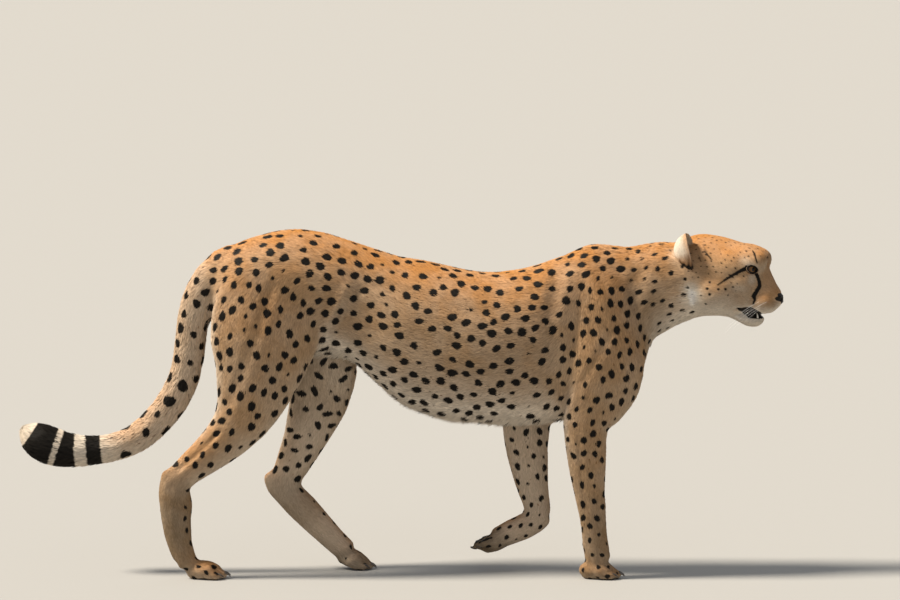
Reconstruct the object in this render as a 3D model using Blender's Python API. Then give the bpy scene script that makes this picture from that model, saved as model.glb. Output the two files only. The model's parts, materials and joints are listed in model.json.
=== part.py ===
"""A walking cheetah, life size, as a still museum model.

Metres, +Z up. The animal walks towards +X with its right side towards -Y. The origin is on the floor, under
the middle of its bounding box. Each form of the body is laid down as a loft or an ellipsoid, the forms are
fused and smoothed into one body whose surface is the outside of the coat, and that body is parted into named
pieces by thin cuts. Three feet stand on the floor and the left forepaw is lifted, as in a walk.
"""

import math

import bmesh
import bpy
import numpy as np
from mathutils import Matrix, Vector

# ---------------------------------------------------------------- driving sizes
VOXEL = 0.0028  # grid on which the forms are fused
CUT = 0.0004  # width of the cuts between pieces
FLOOR_SINK = 0.003  # how far the standing pads are modelled under the floor before they are cut flat
RING_SIDES = 28
BODY_TRIANGLES = 3300
HEAD_TRIANGLES = 1400
FLAT_ANGLE = math.radians(3.0)  # faces that are level within this are merged after the cuts
SHARP_ANGLE = math.radians(40)
SQUARENESS = (0.92, 0.96)  # powers that make the trunk's slices fuller than an ellipse, across and upright
SIDE_NAMES = {-1: "right", 1: "left"}

HEAD_CENTRE = Vector((0.742, 0.0, 0.704))
HEAD_TURN = math.radians(-15)  # the head looks a little to its right
NECK_CUT = 0.672  # the X where the neck ends and the head begins

EYE_RADIUS = 0.0165
EYE_PLACE = Vector((0.0875, 0.0350, 0.0280))  # left eye, in the head's own axes
EYE_GAZE = math.radians(42)  # how far each eye looks out from straight ahead
EYE_GAP = 0.0005
LIDS_AHEAD = 0.0145  # from the eye's centre to the middle of the gap between the lids
LIDS_RADII = (0.0120, 0.0175, 0.0118)  # that gap: along the gaze, along the slit, and upright
LIDS_TILT = math.radians(14)  # the inner corner lies lower than the outer one

# The trunk and neck in upright slices: X, top, bottom, half width.
TRUNK_WIDEST = 0.56
TRUNK = (
    (-0.452, 0.712, 0.640, 0.024),
    (-0.432, 0.748, 0.590, 0.047),
    (-0.400, 0.779, 0.560, 0.071),
    (-0.330, 0.806, 0.535, 0.089),
    (-0.260, 0.820, 0.525, 0.095),
    (-0.190, 0.815, 0.525, 0.093),
    (-0.118, 0.794, 0.512, 0.089),
    (-0.070, 0.777, 0.472, 0.089),
    (0.000, 0.756, 0.412, 0.095),
    (0.060, 0.746, 0.386, 0.101),
    (0.118, 0.733, 0.369, 0.106),
    (0.176, 0.721, 0.366, 0.110),
    (0.235, 0.719, 0.360, 0.110),
    (0.306, 0.731, 0.361, 0.105),
    (0.376, 0.755, 0.370, 0.095),
    (0.447, 0.783, 0.385, 0.082),
    (0.494, 0.781, 0.405, 0.075),
    (0.541, 0.777, 0.436, 0.072),
    (0.572, 0.783, 0.482, 0.070),
    (0.590, 0.786, 0.545, 0.069),
    (0.611, 0.788, 0.568, 0.069),
    (0.658, 0.790, 0.594, 0.068),
    (0.705, 0.792, 0.612, 0.067),
    (0.740, 0.780, 0.630, 0.060),
)

# Limbs as runs of rings: X, distance from the midline, Z, half depth fore and aft, half width across.
SHOULDER_RIGHT = (
    (0.440, 0.028, 0.760, 0.036, 0.017),
    (0.452, 0.042, 0.715, 0.062, 0.028),
    (0.472, 0.055, 0.650, 0.078, 0.037),
    (0.488, 0.063, 0.560, 0.088, 0.043),
    (0.482, 0.065, 0.480, 0.090, 0.044),
    (0.462, 0.067, 0.425, 0.078, 0.040),
    (0.440, 0.069, 0.385, 0.061, 0.036),
)
FORELEG_RIGHT = (
    (0.452, 0.066, 0.420, 0.060, 0.035),
    (0.439, 0.069, 0.380, 0.057, 0.036),
    (0.436, 0.071, 0.348, 0.052, 0.034),
    (0.439, 0.071, 0.293, 0.047, 0.031),
    (0.442, 0.070, 0.246, 0.042, 0.028),
    (0.447, 0.069, 0.199, 0.036, 0.025),
    (0.453, 0.068, 0.158, 0.033, 0.024),
    (0.457, 0.067, 0.116, 0.030, 0.024),
    (0.462, 0.067, 0.073, 0.031, 0.026),
    (0.470, 0.067, 0.040, 0.030, 0.027),
)
SHOULDER_LEFT = (
    (0.430, 0.028, 0.760, 0.036, 0.017),
    (0.436, 0.042, 0.715, 0.060, 0.028),
    (0.446, 0.055, 0.650, 0.076, 0.037),
    (0.446, 0.063, 0.560, 0.086, 0.042),
    (0.410, 0.065, 0.480, 0.085, 0.043),
    (0.350, 0.067, 0.425, 0.072, 0.040),
    (0.312, 0.069, 0.388, 0.060, 0.036),
)
FORELEG_LEFT = (
    (0.325, 0.068, 0.425, 0.056, 0.035),
    (0.303, 0.070, 0.375, 0.058, 0.036),
    (0.299, 0.071, 0.330, 0.056, 0.035),
    (0.301, 0.072, 0.289, 0.051, 0.033),
    (0.307, 0.073, 0.242, 0.045, 0.030),
    (0.315, 0.074, 0.195, 0.038, 0.027),
    (0.324, 0.075, 0.159, 0.033, 0.025),
    (0.330, 0.075, 0.128, 0.030, 0.025),
)
METACARPUS_LEFT = (
    (0.340, 0.075, 0.136, 0.022, 0.021),
    (0.331, 0.075, 0.124, 0.030, 0.025),
    (0.310, 0.075, 0.110, 0.031, 0.025),
    (0.280, 0.075, 0.096, 0.030, 0.025),
    (0.250, 0.075, 0.083, 0.029, 0.027),
    (0.226, 0.075, 0.072, 0.026, 0.027),
)
THIGH_RIGHT = (
    (-0.275, 0.042, 0.745, 0.080, 0.028),
    (-0.296, 0.052, 0.690, 0.118, 0.041),
    (-0.310, 0.059, 0.613, 0.132, 0.050),
    (-0.320, 0.064, 0.553, 0.126, 0.054),
    (-0.330, 0.068, 0.494, 0.107, 0.052),
    (-0.344, 0.072, 0.442, 0.090, 0.048),
    (-0.364, 0.074, 0.392, 0.072, 0.044),
    (-0.392, 0.075, 0.350, 0.058, 0.038),
    (-0.428, 0.075, 0.314, 0.049, 0.033),
    (-0.468, 0.074, 0.281, 0.041, 0.030),
    (-0.503, 0.073, 0.252, 0.036, 0.027),
    (-0.524, 0.072, 0.228, 0.034, 0.026),
)
METATARSUS_RIGHT = (
    (-0.552, 0.072, 0.258, 0.012, 0.012),
    (-0.541, 0.072, 0.240, 0.026, 0.020),
    (-0.532, 0.072, 0.212, 0.036, 0.026),
    (-0.526, 0.072, 0.180, 0.039, 0.027),
    (-0.525, 0.071, 0.140, 0.035, 0.025),
    (-0.519, 0.070, 0.092, 0.031, 0.025),
    (-0.508, 0.069, 0.054, 0.028, 0.027),
    (-0.498, 0.069, 0.032, 0.026, 0.027),
)
THIGH_LEFT = (
    (-0.262, 0.042, 0.745, 0.080, 0.028),
    (-0.262, 0.052, 0.690, 0.118, 0.041),
    (-0.236, 0.059, 0.610, 0.126, 0.050),
    (-0.210, 0.064, 0.535, 0.112, 0.054),
    (-0.193, 0.068, 0.467, 0.095, 0.052),
    (-0.192, 0.072, 0.408, 0.073, 0.047),
    (-0.208, 0.074, 0.360, 0.062, 0.042),
    (-0.226, 0.075, 0.313, 0.052, 0.037),
    (-0.246, 0.075, 0.270, 0.044, 0.033),
    (-0.264, 0.074, 0.232, 0.038, 0.028),
    (-0.272, 0.073, 0.205, 0.034, 0.026),
)
METATARSUS_LEFT = (
    (-0.314, 0.073, 0.232, 0.012, 0.012),
    (-0.300, 0.073, 0.214, 0.027, 0.020),
    (-0.273, 0.073, 0.189, 0.035, 0.026),
    (-0.242, 0.073, 0.159, 0.036, 0.027),
    (-0.210, 0.074, 0.125, 0.034, 0.026),
    (-0.176, 0.075, 0.090, 0.031, 0.025),
    (-0.146, 0.075, 0.060, 0.029, 0.027),
    (-0.124, 0.075, 0.042, 0.026, 0.028),
)
TAIL = (
    (-0.380, 0.0, 0.755, 0.034, 0.034),
    (-0.414, 0.0, 0.735, 0.041, 0.040),
    (-0.445, 0.0, 0.702, 0.042, 0.041),
    (-0.469, 0.0, 0.660, 0.041, 0.039),
    (-0.484, 0.0, 0.614, 0.039, 0.037),
    (-0.492, 0.0, 0.562, 0.038, 0.036),
    (-0.498, 0.0, 0.510, 0.038, 0.036),
    (-0.512, 0.0, 0.458, 0.038, 0.036),
    (-0.538, 0.0, 0.408, 0.038, 0.036),
    (-0.573, 0.0, 0.364, 0.037, 0.036),
    (-0.618, 0.0, 0.326, 0.036, 0.035),
    (-0.670, 0.0, 0.304, 0.035, 0.034),
    (-0.724, 0.0, 0.295, 0.037, 0.036),
    (-0.776, 0.0, 0.295, 0.042, 0.041),
    (-0.820, 0.0, 0.304, 0.047, 0.044),
    (-0.853, 0.0, 0.320, 0.045, 0.042),
    (-0.876, 0.0, 0.336, 0.033, 0.031),
    (-0.894, 0.0, 0.350, 0.010, 0.010),
)

# The head in upright slices, in its own axes: x forward from the middle of the skull, z up.
# Each row is x, top, bottom, half width, and the height of the broadest place as a share.
SKULL = (
    (-0.108, 0.040, -0.070, 0.040, 0.55),
    (-0.085, 0.080, -0.088, 0.058, 0.58),
    (-0.060, 0.097, -0.094, 0.066, 0.58),
    (-0.036, 0.103, -0.093, 0.070, 0.57),
    (-0.010, 0.102, -0.086, 0.071, 0.56),
    (0.016, 0.098, -0.083, 0.070, 0.55),
    (0.040, 0.092, -0.082, 0.066, 0.55),
    (0.062, 0.086, -0.081, 0.0595, 0.54),
    (0.080, 0.080, -0.080, 0.0535, 0.50),
    (0.094, 0.073, -0.079, 0.0460, 0.45),
    (0.106, 0.062, -0.080, 0.0410, 0.41),
    (0.117, 0.048, -0.080, 0.0375, 0.38),
    (0.128, 0.028, -0.080, 0.0350, 0.36),
    (0.137, 0.009, -0.078, 0.0320, 0.36),
    (0.146, -0.009, -0.071, 0.0270, 0.42),
    (0.157, -0.026, -0.061, 0.0205, 0.50),
    (0.165, -0.040, -0.054, 0.0110, 0.50),
)
JAW = (
    (-0.020, -0.052, -0.090, 0.042, 0.60),
    (0.010, -0.060, -0.088, 0.045, 0.60),
    (0.036, -0.068, -0.090, 0.042, 0.60),
    (0.058, -0.075, -0.100, 0.037, 0.60),
    (0.078, -0.080, -0.110, 0.033, 0.58),
    (0.095, -0.083, -0.1125, 0.029, 0.58),
    (0.108, -0.084, -0.109, 0.024, 0.58),
    (0.117, -0.087, -0.098, 0.012, 0.50),
)
# Fuller places of the head, given for one side: centre and radii in the head's own axes.
HEAD_SWELLS = (
    ("cheek", (0.000, 0.036, -0.026), (0.066, 0.042, 0.056)),
    ("jowl", (0.040, 0.030, -0.046), (0.050, 0.030, 0.036)),
    ("cheekbone", (0.056, 0.039, -0.004), (0.046, 0.024, 0.028)),
    ("forehead", (0.070, 0.022, 0.040), (0.060, 0.034, 0.043)),
    ("brow", (0.091, 0.024, 0.046), (0.041, 0.028, 0.030)),
    ("temple", (0.040, 0.038, 0.034), (0.052, 0.030, 0.042)),
    ("whisker_pad", (0.117, 0.021, -0.053), (0.033, 0.024, 0.027)),
    ("nostril_wing", (0.150, 0.009, -0.045), (0.014, 0.012, 0.012)),
)
MOUTH_REACH = 0.12  # wider than the head
MOUTH = ((0.046, -0.0735), (0.180, -0.0835), (0.180, -0.140), (0.012, -0.140), (0.012, -0.080))

# Paws. Toes from the outer to the inner, across and ahead of the hind end of the sole.
TOE_ACROSS = (-0.0240, -0.0085, 0.0085, 0.0240)
TOE_FORWARD = (0.056, 0.071, 0.071, 0.056)
TOE_HINGE = 0.046  # where the toes bend, ahead of the hind end of the sole
TOE_KNUCKLE = ((-0.014, 0.021), (0.0210, 0.0108, 0.0155))  # ahead and up, then the radii
TOE_END = ((0.004, 0.012), (0.0165, 0.0108, 0.0120))
TOE_FAN = 1.08  # how much farther apart the toes' ends are than their knuckles
PAW_BACK = ((0.034, 0.0, 0.024), (0.044, 0.029, 0.023))
PAW_PAD = ((0.022, 0.0, 0.011), (0.024, 0.023, 0.012))
PAWS = {
    # hind end of the sole, pitch, flex of the toes, and how far the toes spread
    "right_fore": (Vector((0.430, -0.067, -FLOOR_SINK)), 0.0, 0.0, 1.0),
    "right_hind": (Vector((-0.497, -0.069, -FLOOR_SINK)), 0.0, 0.0, 1.0),
    "left_hind": (Vector((-0.152, 0.076, 0.0170)), math.radians(24), math.radians(20), 1.0),
    "left_fore": (Vector((0.250, 0.076, 0.106)), math.radians(150), math.radians(-6), 0.9),
}
STANDING = ("forepaw_right", "hindfoot_right", "hindfoot_left")
# A claw as rings: ahead of its toe, height over the sole, and size
CLAW = ((0.0100, 0.0165, 0.0034), (0.0200, 0.0156, 0.0030), (0.0285, 0.0105, 0.0008))
CLAW_SIDES = 5
CLAW_NARROW = 0.7  # width over height

# Ears, in the head's own axes
EAR_BASE = (-0.037, 0.053, 0.020)
EAR_TIP = {-1: (-0.063, 0.077, 0.1085), 1: (-0.068, 0.086, 0.088)}  # the left ear is held lower
EAR_FACING = math.radians(-2)
EAR_WIDTH = 0.058
EAR_DEPTH = 0.041
EAR_WALL = 0.0045
EAR_SEAM = 0.0009  # between an ear's root and the head
EAR_ROWS = 8
EAR_SIDES = 9
EAR_WRAP = math.radians(98)  # half the angle that the wall goes round the opening
EAR_BROADEST = 0.50  # share of its length at which the ear is broadest
EAR_LEAN = 0.010  # how far the tip comes forward
EAR_ROOT_WIDTH = 0.84  # width at the root as a share of the broadest
THINNEST = 0.0008

# The part of each leg that is cut from the trunk, seen from the side, as X and Z, and the plane between.
SHOULDER_RIGHT_EDGE = (
    (0.515, 0.680), (0.470, 0.715), (0.415, 0.700), (0.380, 0.600), (0.372, 0.500), (0.372, 0.330),
    (0.372, -0.050), (0.600, -0.050), (0.540, 0.360), (0.590, 0.440), (0.600, 0.540), (0.570, 0.620),
)
SHOULDER_LEFT_EDGE = (
    (0.500, 0.680), (0.450, 0.715), (0.395, 0.700), (0.350, 0.600), (0.312, 0.505), (0.262, 0.445),
    (0.236, 0.390), (0.236, 0.160), (0.100, 0.120), (0.100, -0.050), (0.420, -0.050), (0.390, 0.340),
    (0.460, 0.375), (0.530, 0.440), (0.575, 0.520), (0.555, 0.620),
)
THIGH_RIGHT_EDGE = (
    (-0.180, 0.640), (-0.250, 0.730), (-0.330, 0.745), (-0.400, 0.700), (-0.448, 0.640), (-0.520, 0.500),
    (-0.620, 0.300), (-0.600, -0.050), (-0.350, -0.050), (-0.330, 0.330), (-0.225, 0.420), (-0.190, 0.520),
)
THIGH_LEFT_EDGE = (
    (-0.120, 0.600), (-0.190, 0.710), (-0.290, 0.740), (-0.380, 0.700), (-0.435, 0.620), (-0.400, 0.500),
    (-0.320, 0.400), (-0.380, 0.200), (-0.260, -0.050), (0.000, -0.050), (-0.060, 0.200), (-0.098, 0.420),
)
LEG_INNER_PLANE = {"fore": 0.024, "hind": 0.016}
LEG_OUTER_PLANE = 0.4  # well outside the body

# Joint places on the legs where a piece ends: X and Z on the limb's line, and the limb's direction there.
LEG_CUTS = {
    "right_fore": (("upper_arm", (0.440, 0.400), (-0.3, -1.0)), ("forearm", (0.457, 0.118), (0.1, -1.0))),
    "left_fore": (("upper_arm", (0.310, 0.400), (-0.3, -1.0)), ("forearm", (0.335, 0.140), (-0.6, -0.8))),
    "right_hind": (("thigh", (-0.372, 0.380), (-0.55, -0.8)), ("shank", (-0.512, 0.240), (-0.75, -0.66))),
    "left_hind": (("thigh", (-0.200, 0.382), (-0.25, -1.0)), ("shank", (-0.266, 0.214), (-0.55, -0.83))),
}
LEG_ENDS = {"fore": "forepaw", "hind": "hindfoot"}
NECK_BASE = ((0.550, 0.680), (0.917, 0.399))
NAPE = ((NECK_CUT, 0.700), (0.96, 0.28))
TAIL_ROOT = (-0.447, 0.690)  # X and Z of the middle of the knife that frees the tail
TAIL_KNIFE = (0.120, 0.236)  # its width and height
TAIL_CUTS = (((-0.499, 0.505), (-0.12, -1.0)), ((-0.690, 0.300), (-1.0, 0.0)))


# ---------------------------------------------------------------- forms
def smooth_run(rows, steps=5):
    """The rows of a table, with Catmull-Rom rows between them."""
    rows = np.array(rows, float)
    padded = np.vstack([2 * rows[0] - rows[1], rows, 2 * rows[-1] - rows[-2]])
    made = []
    for i in range(len(rows) - 1):
        a, b, c, d = padded[i : i + 4]
        for t in np.arange(steps) / steps:
            bend = (2 * a - 5 * b + 4 * c - d) * t**2 + (3 * b - a - 3 * c + d) * t**3
            made.append(0.5 * (2 * b + (c - a) * t + bend))
    made.append(rows[-1])
    return np.array(made)


def mesh_object(name, points, faces):
    mesh = bpy.data.meshes.new(name)
    mesh.from_pydata([tuple(p) for p in points], [], faces)
    mesh.update()
    obj = bpy.data.objects.new(name, mesh)
    bpy.context.scene.collection.objects.link(obj)
    return obj


def loft(name, rings):
    """A closed tube through rings of equal size, each end closed by one face."""
    count = len(rings[0])
    points = [p for ring in rings for p in ring]
    faces = []
    for k in range(len(rings) - 1):
        low, high = k * count, (k + 1) * count
        for i in range(count):
            j = (i + 1) % count
            faces.append((low + i, low + j, high + j, high + i))
    faces.append(tuple(reversed(range(count))))
    faces.append(tuple(range((len(rings) - 1) * count, len(rings) * count)))
    obj = mesh_object(name, points, faces)
    turn_outwards(obj)
    return obj


def turn_outwards(obj):
    work = bmesh.new()
    work.from_mesh(obj.data)
    bmesh.ops.recalc_face_normals(work, faces=work.faces)
    work.to_mesh(obj.data)
    work.free()


def trunk_form(name, rows):
    """Upright egg-shaped slices along X. A fifth number is the share of the height that is broadest."""
    rings = []
    for x, top, bottom, half, *widest in smooth_run(rows):
        level = bottom + (widest[0] if widest else TRUNK_WIDEST) * (top - bottom)
        ring = []
        for i in range(RING_SIDES * 2):
            angle = math.pi * i / RING_SIDES
            c, s = math.cos(angle), math.sin(angle)
            reach = top - level if s > 0 else level - bottom
            across = half * math.copysign(abs(c) ** SQUARENESS[0], c)
            ring.append((x, across, level + reach * math.copysign(abs(s) ** SQUARENESS[1], s)))
        rings.append(ring)
    return loft(name, rings)


def limb_form(name, rows, side):
    """Elliptical rings square to the limb's own line. side is -1 for the right and 1 for the left."""
    rows = smooth_run(rows)
    centres = [Vector((x, side * y, z)) for x, y, z, _, _ in rows]
    rings = []
    for k, (centre, row) in enumerate(zip(centres, rows)):
        along = (centres[min(k + 1, len(rows) - 1)] - centres[max(k - 1, 0)]).normalized()
        across = (Vector((0, 1, 0)) - along * along.y).normalized()
        fore = across.cross(along)
        ring = []
        for i in range(RING_SIDES):
            angle = 2 * math.pi * i / RING_SIDES
            ring.append(centre + fore * row[3] * math.cos(angle) + across * row[4] * math.sin(angle))
        rings.append(ring)
    return loft(name, rings)


def ball_form(name, centre, radii, turn=Matrix.Identity(4), fineness=3):
    """An ellipsoid, turned about its own centre."""
    work = bmesh.new()
    bmesh.ops.create_icosphere(work, subdivisions=fineness, radius=1.0)
    mesh = bpy.data.meshes.new(name)
    work.to_mesh(mesh)
    work.free()
    mesh.transform(Matrix.Translation(centre) @ turn @ Matrix.Diagonal((*radii, 1.0)))
    obj = bpy.data.objects.new(name, mesh)
    bpy.context.scene.collection.objects.link(obj)
    return obj


def paw_places(heel, pitch, flex):
    """The places of a paw's sole and of its toes, which bend back up by the flex."""
    sole = Matrix.Translation(heel) @ Matrix.Rotation(pitch, 4, "Y")
    hinge = Matrix.Translation((TOE_HINGE, 0, 0))
    return sole, sole @ hinge @ Matrix.Rotation(-flex, 4, "Y") @ hinge.inverted()


def paw_forms(name, heel, pitch, flex, spread):
    """A paw: its back, four toes and the pads. heel is the hind end of the sole, on the sole's plane."""
    sole, toes = paw_places(heel, pitch, flex)
    turn, toe_turn = sole.to_3x3().to_4x4(), toes.to_3x3().to_4x4()
    forms = [ball_form(name, sole @ Vector(place), radii, turn) for place, radii in (PAW_BACK, PAW_PAD)]
    for across, forward in zip(TOE_ACROSS, TOE_FORWARD):
        for fan, ((ahead, height), radii) in ((1.0, TOE_KNUCKLE), (TOE_FAN, TOE_END)):
            place = Vector((forward + ahead, across * spread * fan, height))
            forms.append(ball_form(name, toes @ place, radii, toe_turn))
    return forms


def claws(leg):
    """The four blunt claws of a paw, as short bent cones that start inside its toes."""
    heel, pitch, flex, spread = PAWS[leg]
    _, toes = paw_places(heel, pitch, flex)
    made = []
    for across, forward in zip(TOE_ACROSS, TOE_FORWARD):
        rings = []
        for along, height, size in CLAW:
            ring = []
            for i in range(CLAW_SIDES):
                angle = 2 * math.pi * i / CLAW_SIDES
                aside = across * spread * TOE_FAN + CLAW_NARROW * size * math.cos(angle)
                ring.append(toes @ Vector((forward + along, aside, height + size * math.sin(angle))))
            rings.append(ring)
        made.append(loft("claw", rings))
    return made


# ---------------------------------------------------------------- the head
def head_place():
    return Matrix.Translation(HEAD_CENTRE) @ Matrix.Rotation(HEAD_TURN, 4, "Z")


def head_forms():
    place = head_place()
    forms = [trunk_form("skull", SKULL), trunk_form("jaw", JAW)]
    for obj in forms:
        obj.data.transform(place)
    turn = Matrix.Rotation(HEAD_TURN, 4, "Z")
    for name, centre, radii in HEAD_SWELLS:
        for side in (-1, 1):
            spot = place @ Vector((centre[0], side * centre[1], centre[2]))
            forms.append(ball_form(name, spot, radii, turn))
    return forms


def ear(side):
    """A cupped ear: a C-shaped wall round an opening that faces forward and a little outward."""
    base = Vector((EAR_BASE[0], side * EAR_BASE[1], EAR_BASE[2]))
    tip_x, tip_y, tip_z = EAR_TIP[side]
    tip = Vector((tip_x, side * tip_y, tip_z))
    up = (tip - base).normalized()
    opening = Vector((math.cos(EAR_FACING), side * math.sin(EAR_FACING), 0))
    opening = (opening - up * opening.dot(up)).normalized()
    across = up.cross(opening)
    length = (tip - base).length
    outer, inner = [], []
    for k in range(EAR_ROWS + 1):
        share = k / EAR_ROWS
        rise = 1 - (1 - share) ** 1.25  # rows closer together towards the rounded tip
        above = max(rise - EAR_BROADEST, 0) / (1.005 - EAR_BROADEST)
        below = min(rise / EAR_BROADEST, 1)
        full = math.sqrt(1 - above**2) * (EAR_ROOT_WIDTH + (1 - EAR_ROOT_WIDTH) * below)
        for walls, wall in ((outer, 0.0), (inner, EAR_WALL)):
            width = max(EAR_WIDTH / 2 * full - wall, THINNEST)
            depth = max(EAR_DEPTH * full - wall, THINNEST)
            spot = base + up * (length * rise - wall * share) + opening * (EAR_LEAN * rise)
            ring = []
            for i in range(EAR_SIDES + 1):
                angle = EAR_WRAP * (2 * i / EAR_SIDES - 1)
                ring.append(spot + across * width * math.sin(angle) - opening * depth * math.cos(angle))
            walls.append(ring)
    points = [p for k in range(EAR_ROWS + 1) for p in outer[k] + list(reversed(inner[k]))]
    count = 2 * (EAR_SIDES + 1)
    rings = [points[k * count : (k + 1) * count] for k in range(EAR_ROWS + 1)]
    obj = loft("ear_" + SIDE_NAMES[side], rings)
    obj.data.transform(head_place())
    return obj


def lids_gap(side):
    """The almond-shaped hollow between the lids, which bares the front of the eye."""
    place = head_place()
    centre = Vector((EYE_PLACE.x, side * EYE_PLACE.y, EYE_PLACE.z))
    gaze = Vector((math.cos(EYE_GAZE), side * math.sin(EYE_GAZE), 0))
    turn = Matrix.Rotation(HEAD_TURN + side * EYE_GAZE, 4, "Z") @ Matrix.Rotation(side * LIDS_TILT, 4, "X")
    return ball_form("lids", place @ (centre + gaze * LIDS_AHEAD), LIDS_RADII, turn, 2)


def eye(side, radius):
    spot = head_place() @ Vector((EYE_PLACE.x, side * EYE_PLACE.y, EYE_PLACE.z))
    work = bmesh.new()
    bmesh.ops.create_uvsphere(work, u_segments=14, v_segments=9, radius=radius)
    mesh = bpy.data.meshes.new("eye")
    work.to_mesh(mesh)
    work.free()
    mesh.transform(Matrix.Translation(spot))
    obj = bpy.data.objects.new("eye_" + SIDE_NAMES[side], mesh)
    bpy.context.scene.collection.objects.link(obj)
    return obj


# ---------------------------------------------------------------- joining and parting
def remove(obj):
    bpy.data.objects.remove(obj)


def evaluated(obj):
    """Replace an object's mesh by what its modifiers make of it."""
    graph = bpy.context.evaluated_depsgraph_get()
    mesh = bpy.data.meshes.new_from_object(obj.evaluated_get(graph))
    obj.modifiers.clear()
    obj.data = mesh
    return obj


def gather(name, forms):
    """One object that holds all the forms' meshes."""
    work = bmesh.new()
    for form in forms:
        work.from_mesh(form.data)
        remove(form)
    mesh = bpy.data.meshes.new(name)
    work.to_mesh(mesh)
    work.free()
    obj = bpy.data.objects.new(name, mesh)
    bpy.context.scene.collection.objects.link(obj)
    return obj


def smooth_where(obj, centres, repeats, factor=0.5):
    """Smooth a mesh inside soft balls, or everywhere if centres is empty."""
    count = len(obj.data.vertices)
    points = np.empty(count * 3)
    obj.data.vertices.foreach_get("co", points)
    points = points.reshape(-1, 3)
    edges = np.empty(len(obj.data.edges) * 2, dtype=np.int64)
    obj.data.edges.foreach_get("vertices", edges)
    a, b = edges[0::2], edges[1::2]
    share = np.zeros(count)
    for centre, radius in centres:
        distance = np.linalg.norm(points - np.array(centre), axis=1)
        share = np.maximum(share, np.clip(1.5 * (1 - distance / radius), 0, 1))
    if not centres:
        share[:] = 1
    degree = np.maximum(np.bincount(a, minlength=count) + np.bincount(b, minlength=count), 1)
    for _ in range(repeats):
        mean = np.empty_like(points)
        for axis in range(3):
            mean[:, axis] = np.bincount(a, points[b, axis], count) + np.bincount(b, points[a, axis], count)
        points += (factor * share)[:, None] * (mean / degree[:, None] - points)
    obj.data.vertices.foreach_set("co", points.ravel())
    obj.data.update()


def halve(obj, place, normal, name):
    """Cut an object by a plane. What lies on the normal's side leaves as a new object of the given name."""
    normal = Vector(normal).normalized()
    far = obj.copy()
    far.data = obj.data.copy()
    far.name = name
    bpy.context.scene.collection.objects.link(far)
    for part, direction in ((obj, normal), (far, -normal)):
        work = bmesh.new()
        work.from_mesh(part.data)
        parts = work.verts[:] + work.edges[:] + work.faces[:]
        plane = Vector(place) - direction * CUT / 2
        cut = bmesh.ops.bisect_plane(work, geom=parts, plane_co=plane, plane_no=direction, clear_outer=True)
        rim = [e for e in cut["geom_cut"] if isinstance(e, bmesh.types.BMEdge)]
        bmesh.ops.holes_fill(work, edges=rim)
        bmesh.ops.recalc_face_normals(work, faces=work.faces)
        work.to_mesh(part.data)
        work.free()
    return far


def in_side_view(place):
    return Vector((place[0], 0.0, place[1]))


def boolean(obj, other, operation):
    step = obj.modifiers.new(operation, "BOOLEAN")
    step.operation = operation
    step.object = other
    return evaluated(obj)


def prism(edge, side, inner, grow=0.0):
    """An upright outline in X and Z, carried outwards from the plane Y = inner on one side."""
    middle = Vector((sum(x for x, _ in edge) / len(edge), sum(z for _, z in edge) / len(edge)))
    rings = []
    for y in (side * (inner - grow), side * LEG_OUTER_PLANE):
        ring = []
        for k, (x, z) in enumerate(edge):
            before, after = Vector(edge[k - 1]), Vector(edge[(k + 1) % len(edge)])
            along = (after - before).normalized()
            out = Vector((along.y, -along.x))
            if out.dot(Vector((x, z)) - middle) < 0:
                out = -out
            ring.append((x + grow * out.x, y, z + grow * out.y))
        rings.append(ring)
    return loft("prism", rings)


def reduce_to(obj, triangles):
    obj.data.update()
    now = sum(len(face.vertices) - 2 for face in obj.data.polygons)
    step = obj.modifiers.new("reduce", "DECIMATE")
    step.ratio = min(1.0, triangles / now)
    step.use_collapse_triangulate = True
    return evaluated(obj)


def material(name, colour, roughness):
    made = bpy.data.materials.new(name)
    made.use_nodes = True
    shader = made.node_tree.nodes["Principled BSDF"]
    shader.inputs["Base Color"].default_value = (*colour, 1)
    shader.inputs["Roughness"].default_value = roughness
    shader.inputs["Metallic"].default_value = 0.0
    return made


# ---------------------------------------------------------------- the animal
LIMBS = {
    "right_fore": (-1, (SHOULDER_RIGHT, FORELEG_RIGHT)),
    "left_fore": (1, (SHOULDER_LEFT, FORELEG_LEFT, METACARPUS_LEFT)),
    "right_hind": (-1, (THIGH_RIGHT, METATARSUS_RIGHT)),
    "left_hind": (1, (THIGH_LEFT, METATARSUS_LEFT)),
}
LEG_EDGES = {
    "right_fore": SHOULDER_RIGHT_EDGE,
    "left_fore": SHOULDER_LEFT_EDGE,
    "right_hind": THIGH_RIGHT_EDGE,
    "left_hind": THIGH_LEFT_EDGE,
}
# Places where the forms flow into each other, with the reach of the smoothing.
MELTED = (
    ((0.470, -0.075, 0.720), 0.130), ((0.440, 0.075, 0.720), 0.130), ((0.570, -0.060, 0.560), 0.130),
    ((0.540, 0.060, 0.560), 0.130), ((0.380, -0.090, 0.450), 0.120), ((0.300, 0.090, 0.500), 0.120),
    ((-0.200, -0.090, 0.600), 0.150), ((-0.110, 0.090, 0.560), 0.150), ((-0.300, -0.080, 0.740), 0.140),
    ((-0.260, 0.080, 0.740), 0.140), ((-0.420, 0.000, 0.720), 0.080), ((-0.240, -0.060, 0.480), 0.110),
    ((0.660, 0.000, 0.700), 0.120), ((-0.430, 0.000, 0.600), 0.080), ((0.450, 0.000, 0.400), 0.100),
    ((0.470, -0.067, 0.060), 0.055), ((-0.515, -0.069, 0.060), 0.055), ((-0.150, 0.076, 0.070), 0.055),
    ((0.240, 0.076, 0.080), 0.050), ((-0.520, -0.070, 0.235), 0.060), ((-0.275, 0.072, 0.200), 0.060),
    ((0.330, 0.074, 0.130), 0.060), ((0.440, -0.070, 0.390), 0.090), ((0.310, 0.070, 0.400), 0.090),
)
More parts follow.
